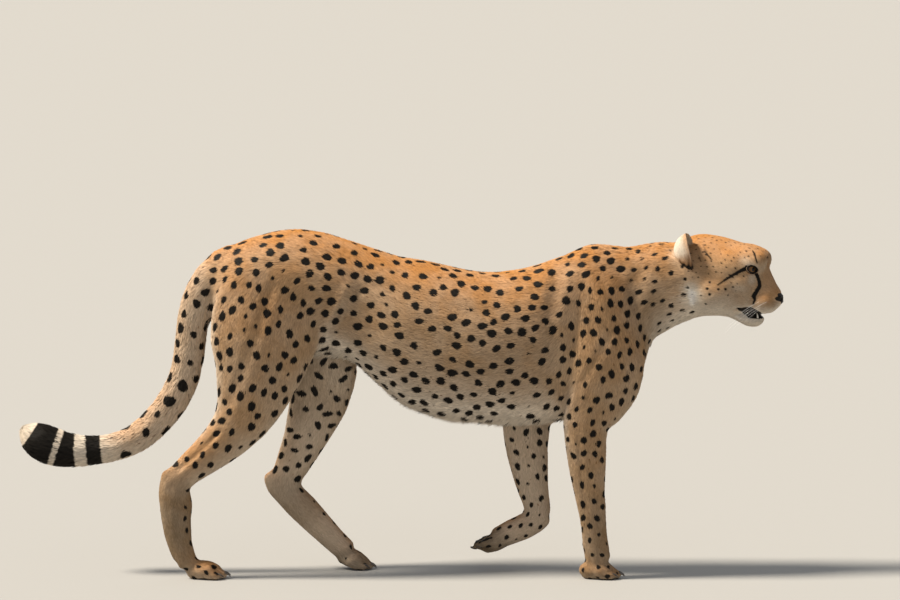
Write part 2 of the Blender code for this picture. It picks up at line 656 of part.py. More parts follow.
HEAD_MELTED = (((0.765, -0.010, 0.720), 0.130), ((0.700, 0.000, 0.700), 0.120))
FACE_MELTED = (((0.830, -0.020, 0.700), 0.100),)
# each set of places and how often it is smoothed; no places means everywhere
SMOOTHING = ((MELTED, 60), (HEAD_MELTED, 30), (FACE_MELTED, 8), ((), 3))


def fused_body():
    """The whole animal without ears, eyes and claws, as one dense smooth mesh."""
    forms = [trunk_form("trunk", TRUNK), limb_form("tail", TAIL, 1)]
    for leg, (side, runs) in LIMBS.items():
        forms += [limb_form(leg, run, side) for run in runs]
        forms += paw_forms(leg, *PAWS[leg])
    forms += head_forms()
    body = gather("trunk", forms)
    step = body.modifiers.new("fuse", "REMESH")
    step.mode = "VOXEL"
    step.voxel_size = VOXEL
    evaluated(body)
    for places, repeats in SMOOTHING:
        smooth_where(body, places, repeats)
    return body


def leg_pieces(body):
    """Take the legs from the body and cut each at its elbow and wrist, or its knee and hock."""
    pieces = {}
    for leg, (side, _) in LIMBS.items():
        kind = leg.split("_")[1]
        inner = LEG_INNER_PLANE[kind]
        outline, grown = (prism(LEG_EDGES[leg], side, inner, grow) for grow in (0.0, CUT))
        limb = body.copy()
        limb.data = body.data.copy()
        bpy.context.scene.collection.objects.link(limb)
        boolean(limb, outline, "INTERSECT")
        boolean(body, grown, "DIFFERENCE")
        remove(outline)
        remove(grown)
        for part, place, normal in LEG_CUTS[leg]:
            rest = halve(limb, in_side_view(place), in_side_view(normal), "rest")
            limb.name = part + "_" + SIDE_NAMES[side]
            pieces[limb.name] = limb
            limb = rest
        limb.name = LEG_ENDS[kind] + "_" + SIDE_NAMES[side]
        pieces[limb.name] = limb
    return pieces


def tail_pieces(trunk):
    """Free the tail with a thin upright knife at its root, then cut it into lengths."""
    knife = box("knife", (TAIL_ROOT[0], 0, TAIL_ROOT[1]), (CUT, TAIL_KNIFE[0], TAIL_KNIFE[1]))
    boolean(trunk, knife, "DIFFERENCE")
    remove(knife)
    tail = loose_part_behind(trunk, TAIL_ROOT[0])
    tail.name = "tail_root"
    middle = halve(tail, in_side_view(TAIL_CUTS[0][0]), in_side_view(TAIL_CUTS[0][1]), "tail_middle")
    tip = halve(middle, in_side_view(TAIL_CUTS[1][0]), in_side_view(TAIL_CUTS[1][1]), "tail_tip")
    return {part.name: part for part in (tail, middle, tip)}


def box(name, centre, size):
    work = bmesh.new()
    bmesh.ops.create_cube(work, size=1.0)
    mesh = bpy.data.meshes.new(name)
    work.to_mesh(mesh)
    work.free()
    mesh.transform(Matrix.Translation(centre) @ Matrix.Diagonal((*size, 1.0)))
    obj = bpy.data.objects.new(name, mesh)
    bpy.context.scene.collection.objects.link(obj)
    return obj


def loose_part_behind(obj, limit):
    """Take the separate body of a mesh that lies wholly behind an X, as an object of its own."""
    work = bmesh.new()
    work.from_mesh(obj.data)
    work.verts.ensure_lookup_table()
    seen, behind = set(), []
    for start in work.verts:
        if start in seen:
            continue
        group, edge_of_group = {start}, [start]
        while edge_of_group:
            vert = edge_of_group.pop()
            for link in vert.link_edges:
                other = link.other_vert(vert)
                if other not in group:
                    group.add(other)
                    edge_of_group.append(other)
        seen |= group
        if max(v.co.x for v in group) < limit + CUT:
            behind += list(group)
    indices = {v.index for v in behind}
    other = work.copy()
    other.verts.ensure_lookup_table()
    bmesh.ops.delete(work, geom=[v for v in work.verts if v.index in indices], context="VERTS")
    bmesh.ops.delete(other, geom=[v for v in other.verts if v.index not in indices], context="VERTS")
    mesh = bpy.data.meshes.new("behind")
    other.to_mesh(mesh)
    work.to_mesh(obj.data)
    other.free()
    work.free()
    made = bpy.data.objects.new("behind", mesh)
    bpy.context.scene.collection.objects.link(made)
    return made


STANDING = ("forepaw_right", "hindfoot_right", "hindfoot_left")
COATS = {
    # part of a node's name: colour and roughness
    "head": ((0.52, 0.33, 0.15), 0.85),
    "jaw": ((0.62, 0.54, 0.44), 0.85),
    "ear": ((0.50, 0.36, 0.22), 0.85),
    "eye": ((0.10, 0.045, 0.012), 0.15),
    "neck": ((0.55, 0.34, 0.15), 0.9),
    "trunk": ((0.58, 0.36, 0.16), 0.9),
    "upper_arm": ((0.58, 0.38, 0.18), 0.9),
    "forearm": ((0.52, 0.37, 0.20), 0.9),
    "forepaw": ((0.40, 0.30, 0.19), 0.9),
    "thigh": ((0.56, 0.35, 0.16), 0.9),
    "shank": ((0.52, 0.36, 0.19), 0.9),
    "hindfoot": ((0.42, 0.32, 0.21), 0.9),
    "tail_root": ((0.54, 0.36, 0.18), 0.9),
    "tail_middle": ((0.52, 0.38, 0.22), 0.9),
    "tail_tip": ((0.30, 0.25, 0.20), 0.9),
}


def tidy_faces(obj):
    """Merge faces that lie level with each other, so that cuts leave no slivers."""
    work = bmesh.new()
    work.from_mesh(obj.data)
    bmesh.ops.dissolve_limit(work, angle_limit=FLAT_ANGLE, verts=work.verts, edges=work.edges)
    bmesh.ops.triangulate(work, faces=work.faces)
    work.to_mesh(obj.data)
    work.free()


def dress(pieces):
    for name, obj in pieces.items():
        coat = next(key for key in COATS if key in name)
        obj.data.materials.clear()
        obj.data.materials.append(material(name + "_coat", *COATS[coat]))
        for face in obj.data.polygons:
            face.material_index = 0
        obj.data.shade_smooth()
        obj.data.set_sharp_from_angle(angle=SHARP_ANGLE)


def main():
    for old in list(bpy.data.objects):
        remove(old)
    body = fused_body()
    head = halve(body, in_side_view(NAPE[0]), in_side_view(NAPE[1]), "head")
    reduce_to(body, BODY_TRIANGLES)
    reduce_to(head, HEAD_TRIANGLES)
    pieces = {"head": head, **tail_pieces(body), **leg_pieces(body)}
    neck = halve(body, in_side_view(NECK_BASE[0]), in_side_view(NECK_BASE[1]), "neck")
    pieces.update({"neck": neck, "trunk": body})
    add_head_pieces(pieces)
    for leg, (side, _) in LIMBS.items():
        foot = pieces[LEG_ENDS[leg.split("_")[1]] + "_" + SIDE_NAMES[side]]
        for claw in claws(leg):
            boolean(foot, claw, "UNION")
            remove(claw)
    for obj in pieces.values():
        keep_largest(obj)
        tidy_faces(obj)
    for name in STANDING:
        remove(halve(pieces[name], (0, 0, -CUT / 2), (0, 0, -1), "below_floor"))
    dress(pieces)
    centre_on_floor(pieces)


def add_head_pieces(pieces):
    head = pieces["head"]
    for side in SIDE_NAMES:
        for cutter in (eye(side, EYE_RADIUS + EYE_GAP), lids_gap(side)):
            boolean(head, cutter, "DIFFERENCE")
            remove(cutter)
        ball = eye(side, EYE_RADIUS)
        pieces[ball.name] = ball
    mouth = [loft_mouth(grow) for grow in (0.0, CUT)]
    jaw = head.copy()
    jaw.data = head.data.copy()
    jaw.name = "lower_jaw"
    bpy.context.scene.collection.objects.link(jaw)
    boolean(jaw, mouth[0], "INTERSECT")
    boolean(head, mouth[1], "DIFFERENCE")
    pieces["lower_jaw"] = jaw
    for cutter in mouth:
        remove(cutter)
    cutters = [grown(head, EAR_SEAM), grown(pieces["neck"], EAR_SEAM)]
    for side in SIDE_NAMES:
        shell = ear(side)
        for cutter in cutters:
            boolean(shell, cutter, "DIFFERENCE")
        pieces[shell.name] = shell
    for cutter in cutters:
        remove(cutter)


def grown(obj, amount):
    """A copy of an object, with its surface moved outwards."""
    made = obj.copy()
    made.data = obj.data.copy()
    bpy.context.scene.collection.objects.link(made)
    step = made.modifiers.new("grow", "DISPLACE")
    step.strength = amount
    step.mid_level = 0.0
    return evaluated(made)


def loft_mouth(grow):
    """The wedge under the mouth line that parts the lower jaw, in the head's place."""
    middle = Vector((sum(x for x, _ in MOUTH) / len(MOUTH), sum(z for _, z in MOUTH) / len(MOUTH)))
    edge = [(x + math.copysign(grow, x - middle.x), z + math.copysign(grow, z - middle.y)) for x, z in MOUTH]
    wedge = loft("mouth", [[(x, y, z) for x, z in edge] for y in (-MOUTH_REACH, MOUTH_REACH)])
    wedge.data.transform(head_place())
    return wedge


def keep_largest(obj):
    """Drop the small scraps that a cut leaves."""
    work = bmesh.new()
    work.from_mesh(obj.data)
    left = set(work.verts)
    groups = []
    while left:
        start = left.pop()
        group, queue = {start}, [start]
        while queue:
            vert = queue.pop()
            for link in vert.link_edges:
                other = link.other_vert(vert)
                if other in left:
                    left.discard(other)
                    group.add(other)
                    queue.append(other)
        groups.append(group)
    groups.sort(key=len)
    bmesh.ops.delete(work, geom=[v for group in groups[:-1] for v in group], context="VERTS")
    work.to_mesh(obj.data)
    work.free()


def centre_on_floor(pieces):
    """Move everything so that the origin is under the middle of the bounding box."""
    corners = np.array([v.co for obj in pieces.values() for v in obj.data.vertices])
    low, high = corners.min(0), corners.max(0)
    shift = Matrix.Translation((-(low[0] + high[0]) / 2, -(low[1] + high[1]) / 2, -low[2]))
    for obj in pieces.values():
        obj.data.transform(shift)


main()
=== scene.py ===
# %% [markdown]
# A walking cheetah, dressed over its solid model
#
# The solid model is a set of plain closed forms whose surface is the outside of the coat. This lesson
# covers them with one skin that lies a little deeper, and grows the coat on it in small locks of solid
# mesh. Places are in the solid model's own frame: metres, the animal walks towards +X and its right side
# faces -Y.

import json
import math

import bmesh
import bpy
import numpy as np
from mathutils import Matrix, Vector
from mathutils.bvhtree import BVHTree
from mathutils.kdtree import KDTree

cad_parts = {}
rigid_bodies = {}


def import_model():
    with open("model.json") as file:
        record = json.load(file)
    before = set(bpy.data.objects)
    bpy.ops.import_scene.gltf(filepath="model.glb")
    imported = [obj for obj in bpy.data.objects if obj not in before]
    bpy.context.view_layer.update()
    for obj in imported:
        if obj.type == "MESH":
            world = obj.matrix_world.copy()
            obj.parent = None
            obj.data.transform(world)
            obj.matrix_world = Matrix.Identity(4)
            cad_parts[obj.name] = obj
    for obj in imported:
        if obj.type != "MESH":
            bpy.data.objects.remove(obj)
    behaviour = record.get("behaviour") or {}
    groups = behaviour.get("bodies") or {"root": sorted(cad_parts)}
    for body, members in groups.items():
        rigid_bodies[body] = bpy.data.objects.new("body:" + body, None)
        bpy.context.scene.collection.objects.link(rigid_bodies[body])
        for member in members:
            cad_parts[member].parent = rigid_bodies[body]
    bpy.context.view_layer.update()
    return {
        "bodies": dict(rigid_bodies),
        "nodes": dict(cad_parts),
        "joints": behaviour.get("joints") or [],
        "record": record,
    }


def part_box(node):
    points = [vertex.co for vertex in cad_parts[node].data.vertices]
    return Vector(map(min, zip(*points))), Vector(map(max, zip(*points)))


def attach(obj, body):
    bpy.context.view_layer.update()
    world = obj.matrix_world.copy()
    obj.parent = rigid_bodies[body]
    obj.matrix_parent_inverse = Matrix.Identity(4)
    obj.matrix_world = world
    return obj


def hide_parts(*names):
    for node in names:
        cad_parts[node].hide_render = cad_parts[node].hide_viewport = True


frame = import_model()
RANDOM = np.random.default_rng(7)
SIDES = {"left": 1, "right": -1}

# %% [markdown]
# Floor, light and camera
#
# A long lens far away keeps the animal's proportions honest. A soft sun stands high on the left, the sky
# fills the shadows, and a large pale floor runs out of the picture.


# %% Stage
CAMERA_TILT, CAMERA_DISTANCE = math.radians(6.5), 15.0
CAMERA_TARGET = Vector((0.1175, 0.0, 0.652))


def new_object(name, data):
    obj = bpy.data.objects.new(name, data)
    bpy.context.scene.collection.objects.link(obj)
    return obj


def facing(way):
    """Turn that points a light or a camera in a direction."""
    return Vector(way).to_track_quat("-Z", "Y").to_euler()


def new_material(name, settings):
    """A material, its node tree and its shader, with the shader's settings by their names."""
    made = bpy.data.materials.new(name)
    made.use_nodes = True
    shader = made.node_tree.nodes["Principled BSDF"]
    for key, value in settings.items():
        shader.inputs[key].default_value = value
    return made, made.node_tree, shader


def sun_light(name, way, strength, softness, colour):
    """Even light from one direction, with shadows as soft as the angle given in degrees."""
    light = bpy.data.lights.new(name, "SUN")
    light.angle = math.radians(softness)
    light.energy = strength
    light.color = colour
    new_object(name, light).rotation_euler = facing(way)


def make_stage():
    bpy.ops.mesh.primitive_plane_add(size=60)
    floor = bpy.context.object
    floor.name = "floor"
    paint = new_material("floor_paint", {"Base Color": (0.40, 0.39, 0.37, 1), "Roughness": 0.9})[0]
    floor.data.materials.append(paint)
    sun_light("left", (0.66, 0.10, -0.74), 6.2, 12, (1.0, 0.92, 0.80))
    sun_light("front_fill", (-0.10, 0.90, -0.45), 0.2, 60, (0.97, 0.98, 1.0))
    world = bpy.data.worlds.new("sky")
    world.use_nodes = True
    sky = world.node_tree.nodes["Background"].inputs
    sky["Color"].default_value = (0.90, 0.93, 0.97, 1)
    sky["Strength"].default_value = 0.42
    bpy.context.scene.world = world
    bpy.context.scene.view_settings.view_transform = "Standard"


def make_camera():
    """The animal seen from its right, from a little above its back."""
    lens = bpy.data.cameras.new("camera")
    lens.lens = 255
    lens.sensor_width = 36
    lens.clip_end = 100
    camera = new_object("camera", lens)
    way = Vector((0, -math.cos(CAMERA_TILT), math.sin(CAMERA_TILT)))
    camera.location = CAMERA_TARGET + way * CAMERA_DISTANCE
    camera.rotation_euler = facing(CAMERA_TARGET - camera.location)
    bpy.context.scene.camera = camera


make_stage()
make_camera()
print("stage and camera ready")

# %% [markdown]
# One skin over all the pieces of flesh
#
# The solids are parted by thin cuts. Copies of them, each swollen by a hair so that the cuts close, are
# fused by the voxel remesher: fine cells for the head, whose folds are small, and coarser ones for the
# rest. Facets are smoothed away without shrinking the form, both halves are cut by one plane through the
# neck, and the two open rims are bridged into a single skin.


# %% Tools for meshes held as arrays
def rows_of(items, key, width=3, kind=float):
    """One property of all points, edges or faces, a row for each."""
    got = np.empty(len(items) * width, dtype=kind)
    items.foreach_get(key, got)
    return got.reshape(-1, width)


def points_of(mesh):
    return rows_of(mesh.vertices, "co")


def normals_of(mesh):
    return rows_of(mesh.vertex_normals, "vector")


def corners_of(mesh):
    return rows_of(mesh.polygons, "vertices", kind=np.int64)


def set_points(mesh, points):
    mesh.vertices.foreach_set("co", np.asarray(points, dtype=np.float32).ravel())
    mesh.update()


def smooth_faces(mesh):
    mesh.polygons.foreach_set("use_smooth", [True] * len(mesh.polygons))


def unit(vectors):
    return vectors / np.maximum(np.linalg.norm(vectors, axis=-1, keepdims=True), 1e-9)


def soft_step(low, high, value):
    t = np.clip((value - low) / (high - low), 0, 1)
    return t * t * (3 - 2 * t)


def evaluated(obj):
    """Replace an object's mesh by what its modifiers make of it."""
    graph = bpy.context.evaluated_depsgraph_get()
    mesh = bpy.data.meshes.new_from_object(obj.evaluated_get(graph))
    obj.modifiers.clear()
    obj.data = mesh
    return obj


SMOOTH_AND_BACK = (0.5, -0.52)


def relax(values, mesh, repeats, share=1.0, keep_volume=False):
    """Smooth values over a mesh. keep_volume undoes the shrinking that plain smoothing brings."""
    count = len(mesh.vertices)
    a, b = rows_of(mesh.edges, "vertices", 2, np.int64).T
    degree = np.maximum(np.bincount(a, minlength=count) + np.bincount(b, minlength=count), 1)[:, None]
    share = np.broadcast_to(np.asarray(share, dtype=float), (count,))[:, None]
    for _ in range(repeats):
        for factor in SMOOTH_AND_BACK if keep_volume else SMOOTH_AND_BACK[:1]:
            total = np.empty_like(values)
            for axis in range(values.shape[1]):
                column = values[:, axis]
                total[:, axis] = np.bincount(a, column[b], count) + np.bincount(b, column[a], count)
            values = values + factor * share * (total / degree - values)
    return values


# %% Fuse the solids
FLESH = [name for name in frame["nodes"] if not name.startswith("eye")]
HEAD_NODES = ["head", "lower_jaw", "ear_left", "ear_right", "neck"]
NECK_PLACE, NECK_NORMAL = Vector((0.640, 0.0, 0.700)), Vector((0.96, 0.0, 0.28)).normalized()
RIM_GAP = 0.0012
BODY_CELL, HEAD_CELL = 0.0030, 0.00135
SWELL = 0.0006
FACETS_BODY, FACETS_HEAD = 40, 24


def fused(name, nodes, cell):
    """Copies of CAD nodes as one closed mesh."""
    work = bmesh.new()
    for node in nodes:
        piece = bmesh.new()
        piece.from_mesh(bpy.data.objects[node].data)
        bmesh.ops.remove_doubles(piece, verts=piece.verts, dist=1e-6)
        piece.normal_update()
        for vert in piece.verts:
            vert.co += vert.normal * SWELL
        part = bpy.data.meshes.new("part")
        piece.to_mesh(part)
        piece.free()
        work.from_mesh(part)
    mesh = bpy.data.meshes.new(name)
    work.to_mesh(mesh)
    work.free()
    obj = new_object(name, mesh)
    step = obj.modifiers.new("fuse", "REMESH")
    step.mode = "VOXEL"
    step.voxel_size = cell
    return evaluated(obj)


def keep_side(obj, front):
    """Cut a mesh open at the neck plane and keep one side."""
    work = bmesh.new()
    work.from_mesh(obj.data)
    parts = work.verts[:] + work.edges[:] + work.faces[:]
    shift = NECK_NORMAL * (RIM_GAP if front else -RIM_GAP)
    bmesh.ops.bisect_plane(
        work, geom=parts, plane_co=NECK_PLACE + shift, plane_no=NECK_NORMAL,
        clear_outer=not front, clear_inner=front,
    )
    work.to_mesh(obj.data)
    work.free()


body = fused("body", FLESH, BODY_CELL)
head = fused("head_skin", HEAD_NODES, HEAD_CELL)
for half, repeats in ((body, FACETS_BODY), (head, FACETS_HEAD)):
    set_points(half.data, relax(points_of(half.data), half.data, repeats, keep_volume=True))
    keep_side(half, front=half is head)
print("fused", len(body.data.vertices), "body points and", len(head.data.vertices), "head points")


# %% Join the two halves
def joined_skin(halves):
    work = bmesh.new()
    for half in halves:
        work.from_mesh(half.data)
        bpy.data.objects.remove(half)
    rims = [edge for edge in work.edges if edge.is_boundary]
    made = bmesh.ops.bridge_loops(work, edges=rims)
    bmesh.ops.triangulate(work, faces=work.faces[:])
    islands, seen = [], set()
    for vert in work.verts:
        if vert.index in seen:
            continue
        island, queue = [], [vert]
        seen.add(vert.index)
        while queue:
            current = queue.pop()
            island.append(current)
            for edge in current.link_edges:
                other = edge.other_vert(current)
                if other.index not in seen:
                    seen.add(other.index)
                    queue.append(other)
        islands.append(island)
    islands.sort(key=len)
    for island in islands[:-1]:
        bmesh.ops.delete(work, geom=island, context="VERTS")
    bmesh.ops.recalc_face_normals(work, faces=work.faces[:])
    mesh = bpy.data.meshes.new("skin")
    work.to_mesh(mesh)
    work.free()
    print("bridged", len(made["faces"]), "faces, dropped", len(islands) - 1, "loose islands")
    return new_object("skin", mesh)


skin = joined_skin([body, head])
print("skin", len(skin.data.vertices), "points", len(skin.data.polygons), "triangles")


# %% [markdown]
# The lines that coat and markings follow
#
# Hair lies from the nose back over the trunk to the tail and down each leg to the toes. A plain line
# through the middle of every limb gives that direction. The same line unrolls the skin round it like a
# sleeve, which places each lock of the coat on a flat map for baking: u runs along the line and v round it.

# %% Lines through the body, each in the direction in which the hair lies
LINES = {
    "head": (
        (0.930, -0.052, 0.640), (0.840, -0.027, 0.680), (0.742, 0.0, 0.702), (0.650, 0.0, 0.700),
        (0.560, 0.0, 0.660),
    ),
    "neck": ((0.760, 0.0, 0.705), (0.660, 0.0, 0.697), (0.580, 0.0, 0.660), (0.480, 0.0, 0.610)),
    "trunk": (
        (0.600, 0.0, 0.660), (0.420, 0.0, 0.590), (0.300, 0.0, 0.550), (0.150, 0.0, 0.555),
        (0.000, 0.0, 0.590), (-0.150, 0.0, 0.665), (-0.300, 0.0, 0.690), (-0.430, 0.0, 0.690),
        (-0.520, 0.0, 0.640),
    ),
    "foreleg_right": (
        (0.450, -0.042, 0.730), (0.482, -0.063, 0.560), (0.462, -0.067, 0.425), (0.437, -0.071, 0.348),
        (0.442, -0.070, 0.246), (0.453, -0.068, 0.158), (0.464, -0.067, 0.073), (0.478, -0.067, 0.036),
        (0.540, -0.067, 0.008),
    ),
    "foreleg_left": (
        (0.436, 0.042, 0.730), (0.446, 0.063, 0.560), (0.380, 0.066, 0.450), (0.304, 0.070, 0.375),
        (0.301, 0.072, 0.289), (0.315, 0.074, 0.195), (0.328, 0.075, 0.140), (0.280, 0.075, 0.096),
        (0.228, 0.075, 0.072), (0.165, 0.075, 0.040),
    ),
    "hindleg_right": (
        (-0.275, -0.050, 0.760), (-0.310, -0.059, 0.613), (-0.330, -0.068, 0.494), (-0.364, -0.074, 0.392),
        (-0.428, -0.075, 0.314), (-0.503, -0.073, 0.252), (-0.530, -0.072, 0.212), (-0.525, -0.071, 0.140),
        (-0.512, -0.069, 0.060), (-0.485, -0.069, 0.030), (-0.390, -0.069, 0.008),
    ),
    "hindleg_left": (
        (-0.262, 0.050, 0.760), (-0.236, 0.059, 0.610), (-0.193, 0.068, 0.467), (-0.208, 0.074, 0.360),
        (-0.246, 0.075, 0.270), (-0.272, 0.073, 0.200), (-0.220, 0.074, 0.135), (-0.160, 0.075, 0.072),
        (-0.115, 0.075, 0.032), (-0.040, 0.075, 0.006),
    ),
    "tail": (
        (-0.400, 0.0, 0.750), (-0.469, 0.0, 0.660), (-0.492, 0.0, 0.562), (-0.512, 0.0, 0.458),
        (-0.573, 0.0, 0.364), (-0.670, 0.0, 0.304), (-0.776, 0.0, 0.295), (-0.853, 0.0, 0.320),
        (-0.910, 0.0, 0.360),
    ),
}
print("lines", ", ".join(LINES))

# %% The head's own axes, and the line that each solid follows
EAR_BASE = (-0.037, 0.053, 0.020)
EAR_TIPS = {"right": (-0.062, 0.075, 0.1085), "left": (-0.068, 0.086, 0.088)}
EAR_STOPS = (-0.3, 0.5, 1.2)  # its line runs on past base and tip
HEAD_TURN = math.radians(-15)
EYE_PLACE = (0.0875, 0.0350, 0.0280)
EYES = {side: np.mean([list(corner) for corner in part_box("eye_" + side)], axis=0) for side in SIDES}
HEAD = (
    Matrix.Translation(Vector((EYES["left"] + EYES["right"]) / 2))
    @ Matrix.Rotation(HEAD_TURN, 4, "Z")
    @ Matrix.Translation((-EYE_PLACE[0], 0, -EYE_PLACE[2]))
)


def head_point(x, y, z):
    """A place given in the head's own axes."""
    return HEAD @ Vector((x, y, z))


def head_way(x, y, z):
    """A direction given in the head's own axes."""
    return HEAD.to_3x3() @ Vector((x, y, z))


for side, sign in SIDES.items():
    base, tip = (np.array(place) * (1, sign, 1) for place in (EAR_BASE, EAR_TIPS[side]))
    LINES["ear_" + side] = tuple(tuple(head_point(*(base * (1 - t) + tip * t))) for t in EAR_STOPS)
NODE_LINES = {"head": "head", "lower_jaw": "head", "neck": "neck", "trunk": "trunk"}
NODE_LINES.update({"tail_" + part: "tail" for part in ("root", "middle", "tip")})
LIMBS = {
    "ear": ("ear",),
    "foreleg": ("upper_arm", "forearm", "forepaw"),
    "hindleg": ("thigh", "shank", "hindfoot"),
}
for limb, nodes in LIMBS.items():
    NODE_LINES.update({f"{node}_{side}": f"{limb}_{side}" for node in nodes for side in SIDES})
print("eyes at", {side: np.round(place, 3).tolist() for side, place in EYES.items()})


def along_line(points, line):
    """For each point: the length along a line, the line's direction there, and the offset from the line.

    The first and last stretches go on past the line's ends.
    """
    line = np.asarray(line, dtype=float)
    best = np.full(len(points), np.inf)
    length, tangent, offset = np.zeros(len(points)), np.zeros_like(points), np.zeros_like(points)
    start = 0.0
    for k in range(len(line) - 1):
        step = line[k + 1] - line[k]
        size = np.linalg.norm(step)
        t = (points - line[k]) @ step / size**2
        t = np.clip(t, -np.inf if k == 0 else 0, np.inf if k == len(line) - 2 else 1)
        gap = points - line[k] - t[:, None] * step
        distance = np.linalg.norm(gap, axis=1)
        near = distance < best
        best[near], length[near], offset[near] = distance[near], start + t[near] * size, gap[near]
        tangent[near] = step / size
        start += size
    return length, tangent, offset


# %% Which solid each place of the skin belongs to
def solids_tree(nodes):
    points, faces, owner = [], [], []
    for number, node in enumerate(nodes):
        mesh = bpy.data.objects[node].data
        first = len(points)
        points += [tuple(v.co) for v in mesh.vertices]
        faces += [tuple(first + i for i in p.vertices) for p in mesh.polygons]
        owner += [number] * len(mesh.polygons)
    return BVHTree.FromPolygons(points, faces), np.array(owner)


def owners(points):
    """The number of the solid nearest to each point."""
    return FACE_OWNER[[SOLIDS.find_nearest(p)[2] for p in points.tolist()]]


# Per solid: depth of the coat, length and width of a lock, and distance between locks, in millimetres.
COAT = {
    "head": (2.0, 6.5, 1.5, 1.4), "lower_jaw": (2.0, 6.0, 1.5, 1.4), "ear": (1.1, 6.5, 1.6, 1.5),
    "neck": (4.5, 14.0, 3.0, 2.8), "trunk": (4.5, 13.0, 3.1, 2.9), "upper_arm": (4.0, 12.5, 2.9, 2.75),
    "forearm": (3.0, 10.5, 2.6, 2.5), "forepaw": (1.8, 7.0, 2.0, 1.9), "thigh": (4.0, 13.0, 3.0, 2.85),
    "shank": (3.2, 11.5, 2.8, 2.65), "hindfoot": (2.0, 8.5, 2.2, 2.1), "tail_root": (6.0, 18.0, 3.4, 3.1),
    "tail_middle": (8.0, 24.0, 4.0, 3.6), "tail_tip": (9.0, 28.0, 4.2, 3.7),
}


def per_solid(table, default=None):
    """A table's row for every solid, found by its whole name or by its name without the side."""
    return np.array([table.get(node, table.get(node.rsplit("_", 1)[0], default)) for node in FLESH])


COAT_TABLE = per_solid(COAT) / 1000
SOLIDS, FACE_OWNER = solids_tree(FLESH)
skin_owner = owners(points_of(skin.data))
print("skin points per solid", dict(zip(FLESH, np.bincount(skin_owner, minlength=len(FLESH)).tolist())))

# %% [markdown]
# Setting the skin in by the depth of the coat
#
# The solid model ends where the hair tips end, so the skin moves inwards by the coat's depth, which is a
# couple of millimetres on the face and feet and about nine on the tail's brush.

# %% Inset
DEPTH_BLUR = 60
EYE_DEPTH, EYE_RIM = 0.25, (0.022, 0.034)  # the coat is thin round the eyes: share of its depth, and reach


def inset_skin():
    mesh = skin.data
    depth = relax(COAT_TABLE[skin_owner, :1], mesh, DEPTH_BLUR)
    for place in EYES.values():
        away = np.linalg.norm(points_of(mesh) - place, axis=1)
        depth *= EYE_DEPTH + (1 - EYE_DEPTH) * soft_step(*EYE_RIM, away)[:, None]
    normals = unit(relax(normals_of(mesh), mesh, 3))
    set_points(mesh, points_of(mesh) - normals * depth)
    print("coat depth", round(depth.min() * 1000, 1), "to", round(depth.max() * 1000, 1), "mm")


inset_skin()

# %% [markdown]
# Folds and hollows of the head
#
# The solids give the head its proportions. The skin adds what is finer than they are: the open mouth with
# its lips, nostrils, the groove under the nose, the furrow of the forehead and the swell of the whisker
# pads. Each is a soft push along the surface, given once and mirrored.

# %% Tools for pushes and strokes
HEAD_TO_OWN = np.array(HEAD.inverted())


def in_head(points):
    """Places in the head's own axes: x forward, z up, y the distance from the middle on either side."""
    own = points @ HEAD_TO_OWN[:3, :3].T + HEAD_TO_OWN[:3, 3]
    own[:, 1] = np.abs(own[:, 1])
    return own


def to_stroke(points, rows):
    """Distance to a run of straight pieces less its half width, each row's last number, in millimetres."""
    rows = np.array(rows, dtype=float)
    best = np.full(len(points), 1.0)
    for start, end in zip(rows[:-1], rows[1:]):
        step = end[:-1] - start[:-1]
        t = np.clip((points - start[:-1]) @ step / (step @ step), 0, 1)
        gap = np.linalg.norm(points - start[:-1] - t[:, None] * step, axis=1)
        best = np.minimum(best, gap - (start[-1] + (end[-1] - start[-1]) * t) / 1000)
    return best


def within(points, centre, radii):
    """One in the middle of an ellipsoid, falling softly to nothing at its surface."""
    inside = 1 - (((points - np.array(centre)) / np.array(radii)) ** 2).sum(1)
    return np.clip(inside, 0, 1) ** 1.5


def strongest(points, places, power=1.0):
    """The largest of the amounts that places, given by centre, radii and amount, have at each point."""
    found = np.zeros(len(points))
    for centre, radii, amount in places:
        found = np.maximum(found, amount * within(points, centre, radii) ** power)
    return found


def groove(points, rows, fade):
    """One within a stroke, falling softly to nothing over the fade, which is in millimetres."""
    return 1 - soft_step(0, fade / 1000, to_stroke(points, rows))


print("middle of the eyes in the head's own axes", in_head(sum(EYES.values())[None] / 2).round(4)[0])

# %% Pushes and grooves of the head
# centre, radii and push in millimetres
HEAD_PUSHES = (
    ((0.118, 0.032, -0.052), (0.030, 0.022, 0.020), 1.6),  # whisker pad
    ((0.020, 0.070, -0.030), (0.050, 0.030, 0.042), 2.0),  # chewing muscle
    ((0.066, 0.056, -0.030), (0.018, 0.020, 0.026), -1.8),  # hollow before it
    ((0.078, 0.050, 0.008), (0.026, 0.020, 0.010), 1.0),  # bag under the eye
    ((0.104, 0.034, 0.010), (0.014, 0.016, 0.022), -1.6),  # bed of the tear line
    ((0.122, 0.030, -0.008), (0.026, 0.014, 0.024), -2.2),  # side of the bridge
    ((0.088, 0.041, 0.050), (0.024, 0.016, 0.010), 1.5),  # brow
    ((0.1000, 0.0000, 0.0700), (0.0500, 0.0120, 0.0300), -1.6),  # furrow of the forehead
    ((0.1100, 0.0000, -0.0960), (0.0200, 0.0200, 0.0100), 1.0),  # chin
)
# the slit of the mouth: rows of x, y, z and half width, then how wide it fades and its depth, in millimetres
MOUTH = (
    ((0.0650, 0.0480, -0.0660, 0.5), (0.0800, 0.0400, -0.0740, 2.0), (0.0960, 0.0330, -0.0800, 3.0),
     (0.1120, 0.0240, -0.0830, 3.5), (0.1220, 0.0120, -0.0840, 3.0), (0.1260, 0.0, -0.0845, 3.0)), 6.0, -8.0,
)
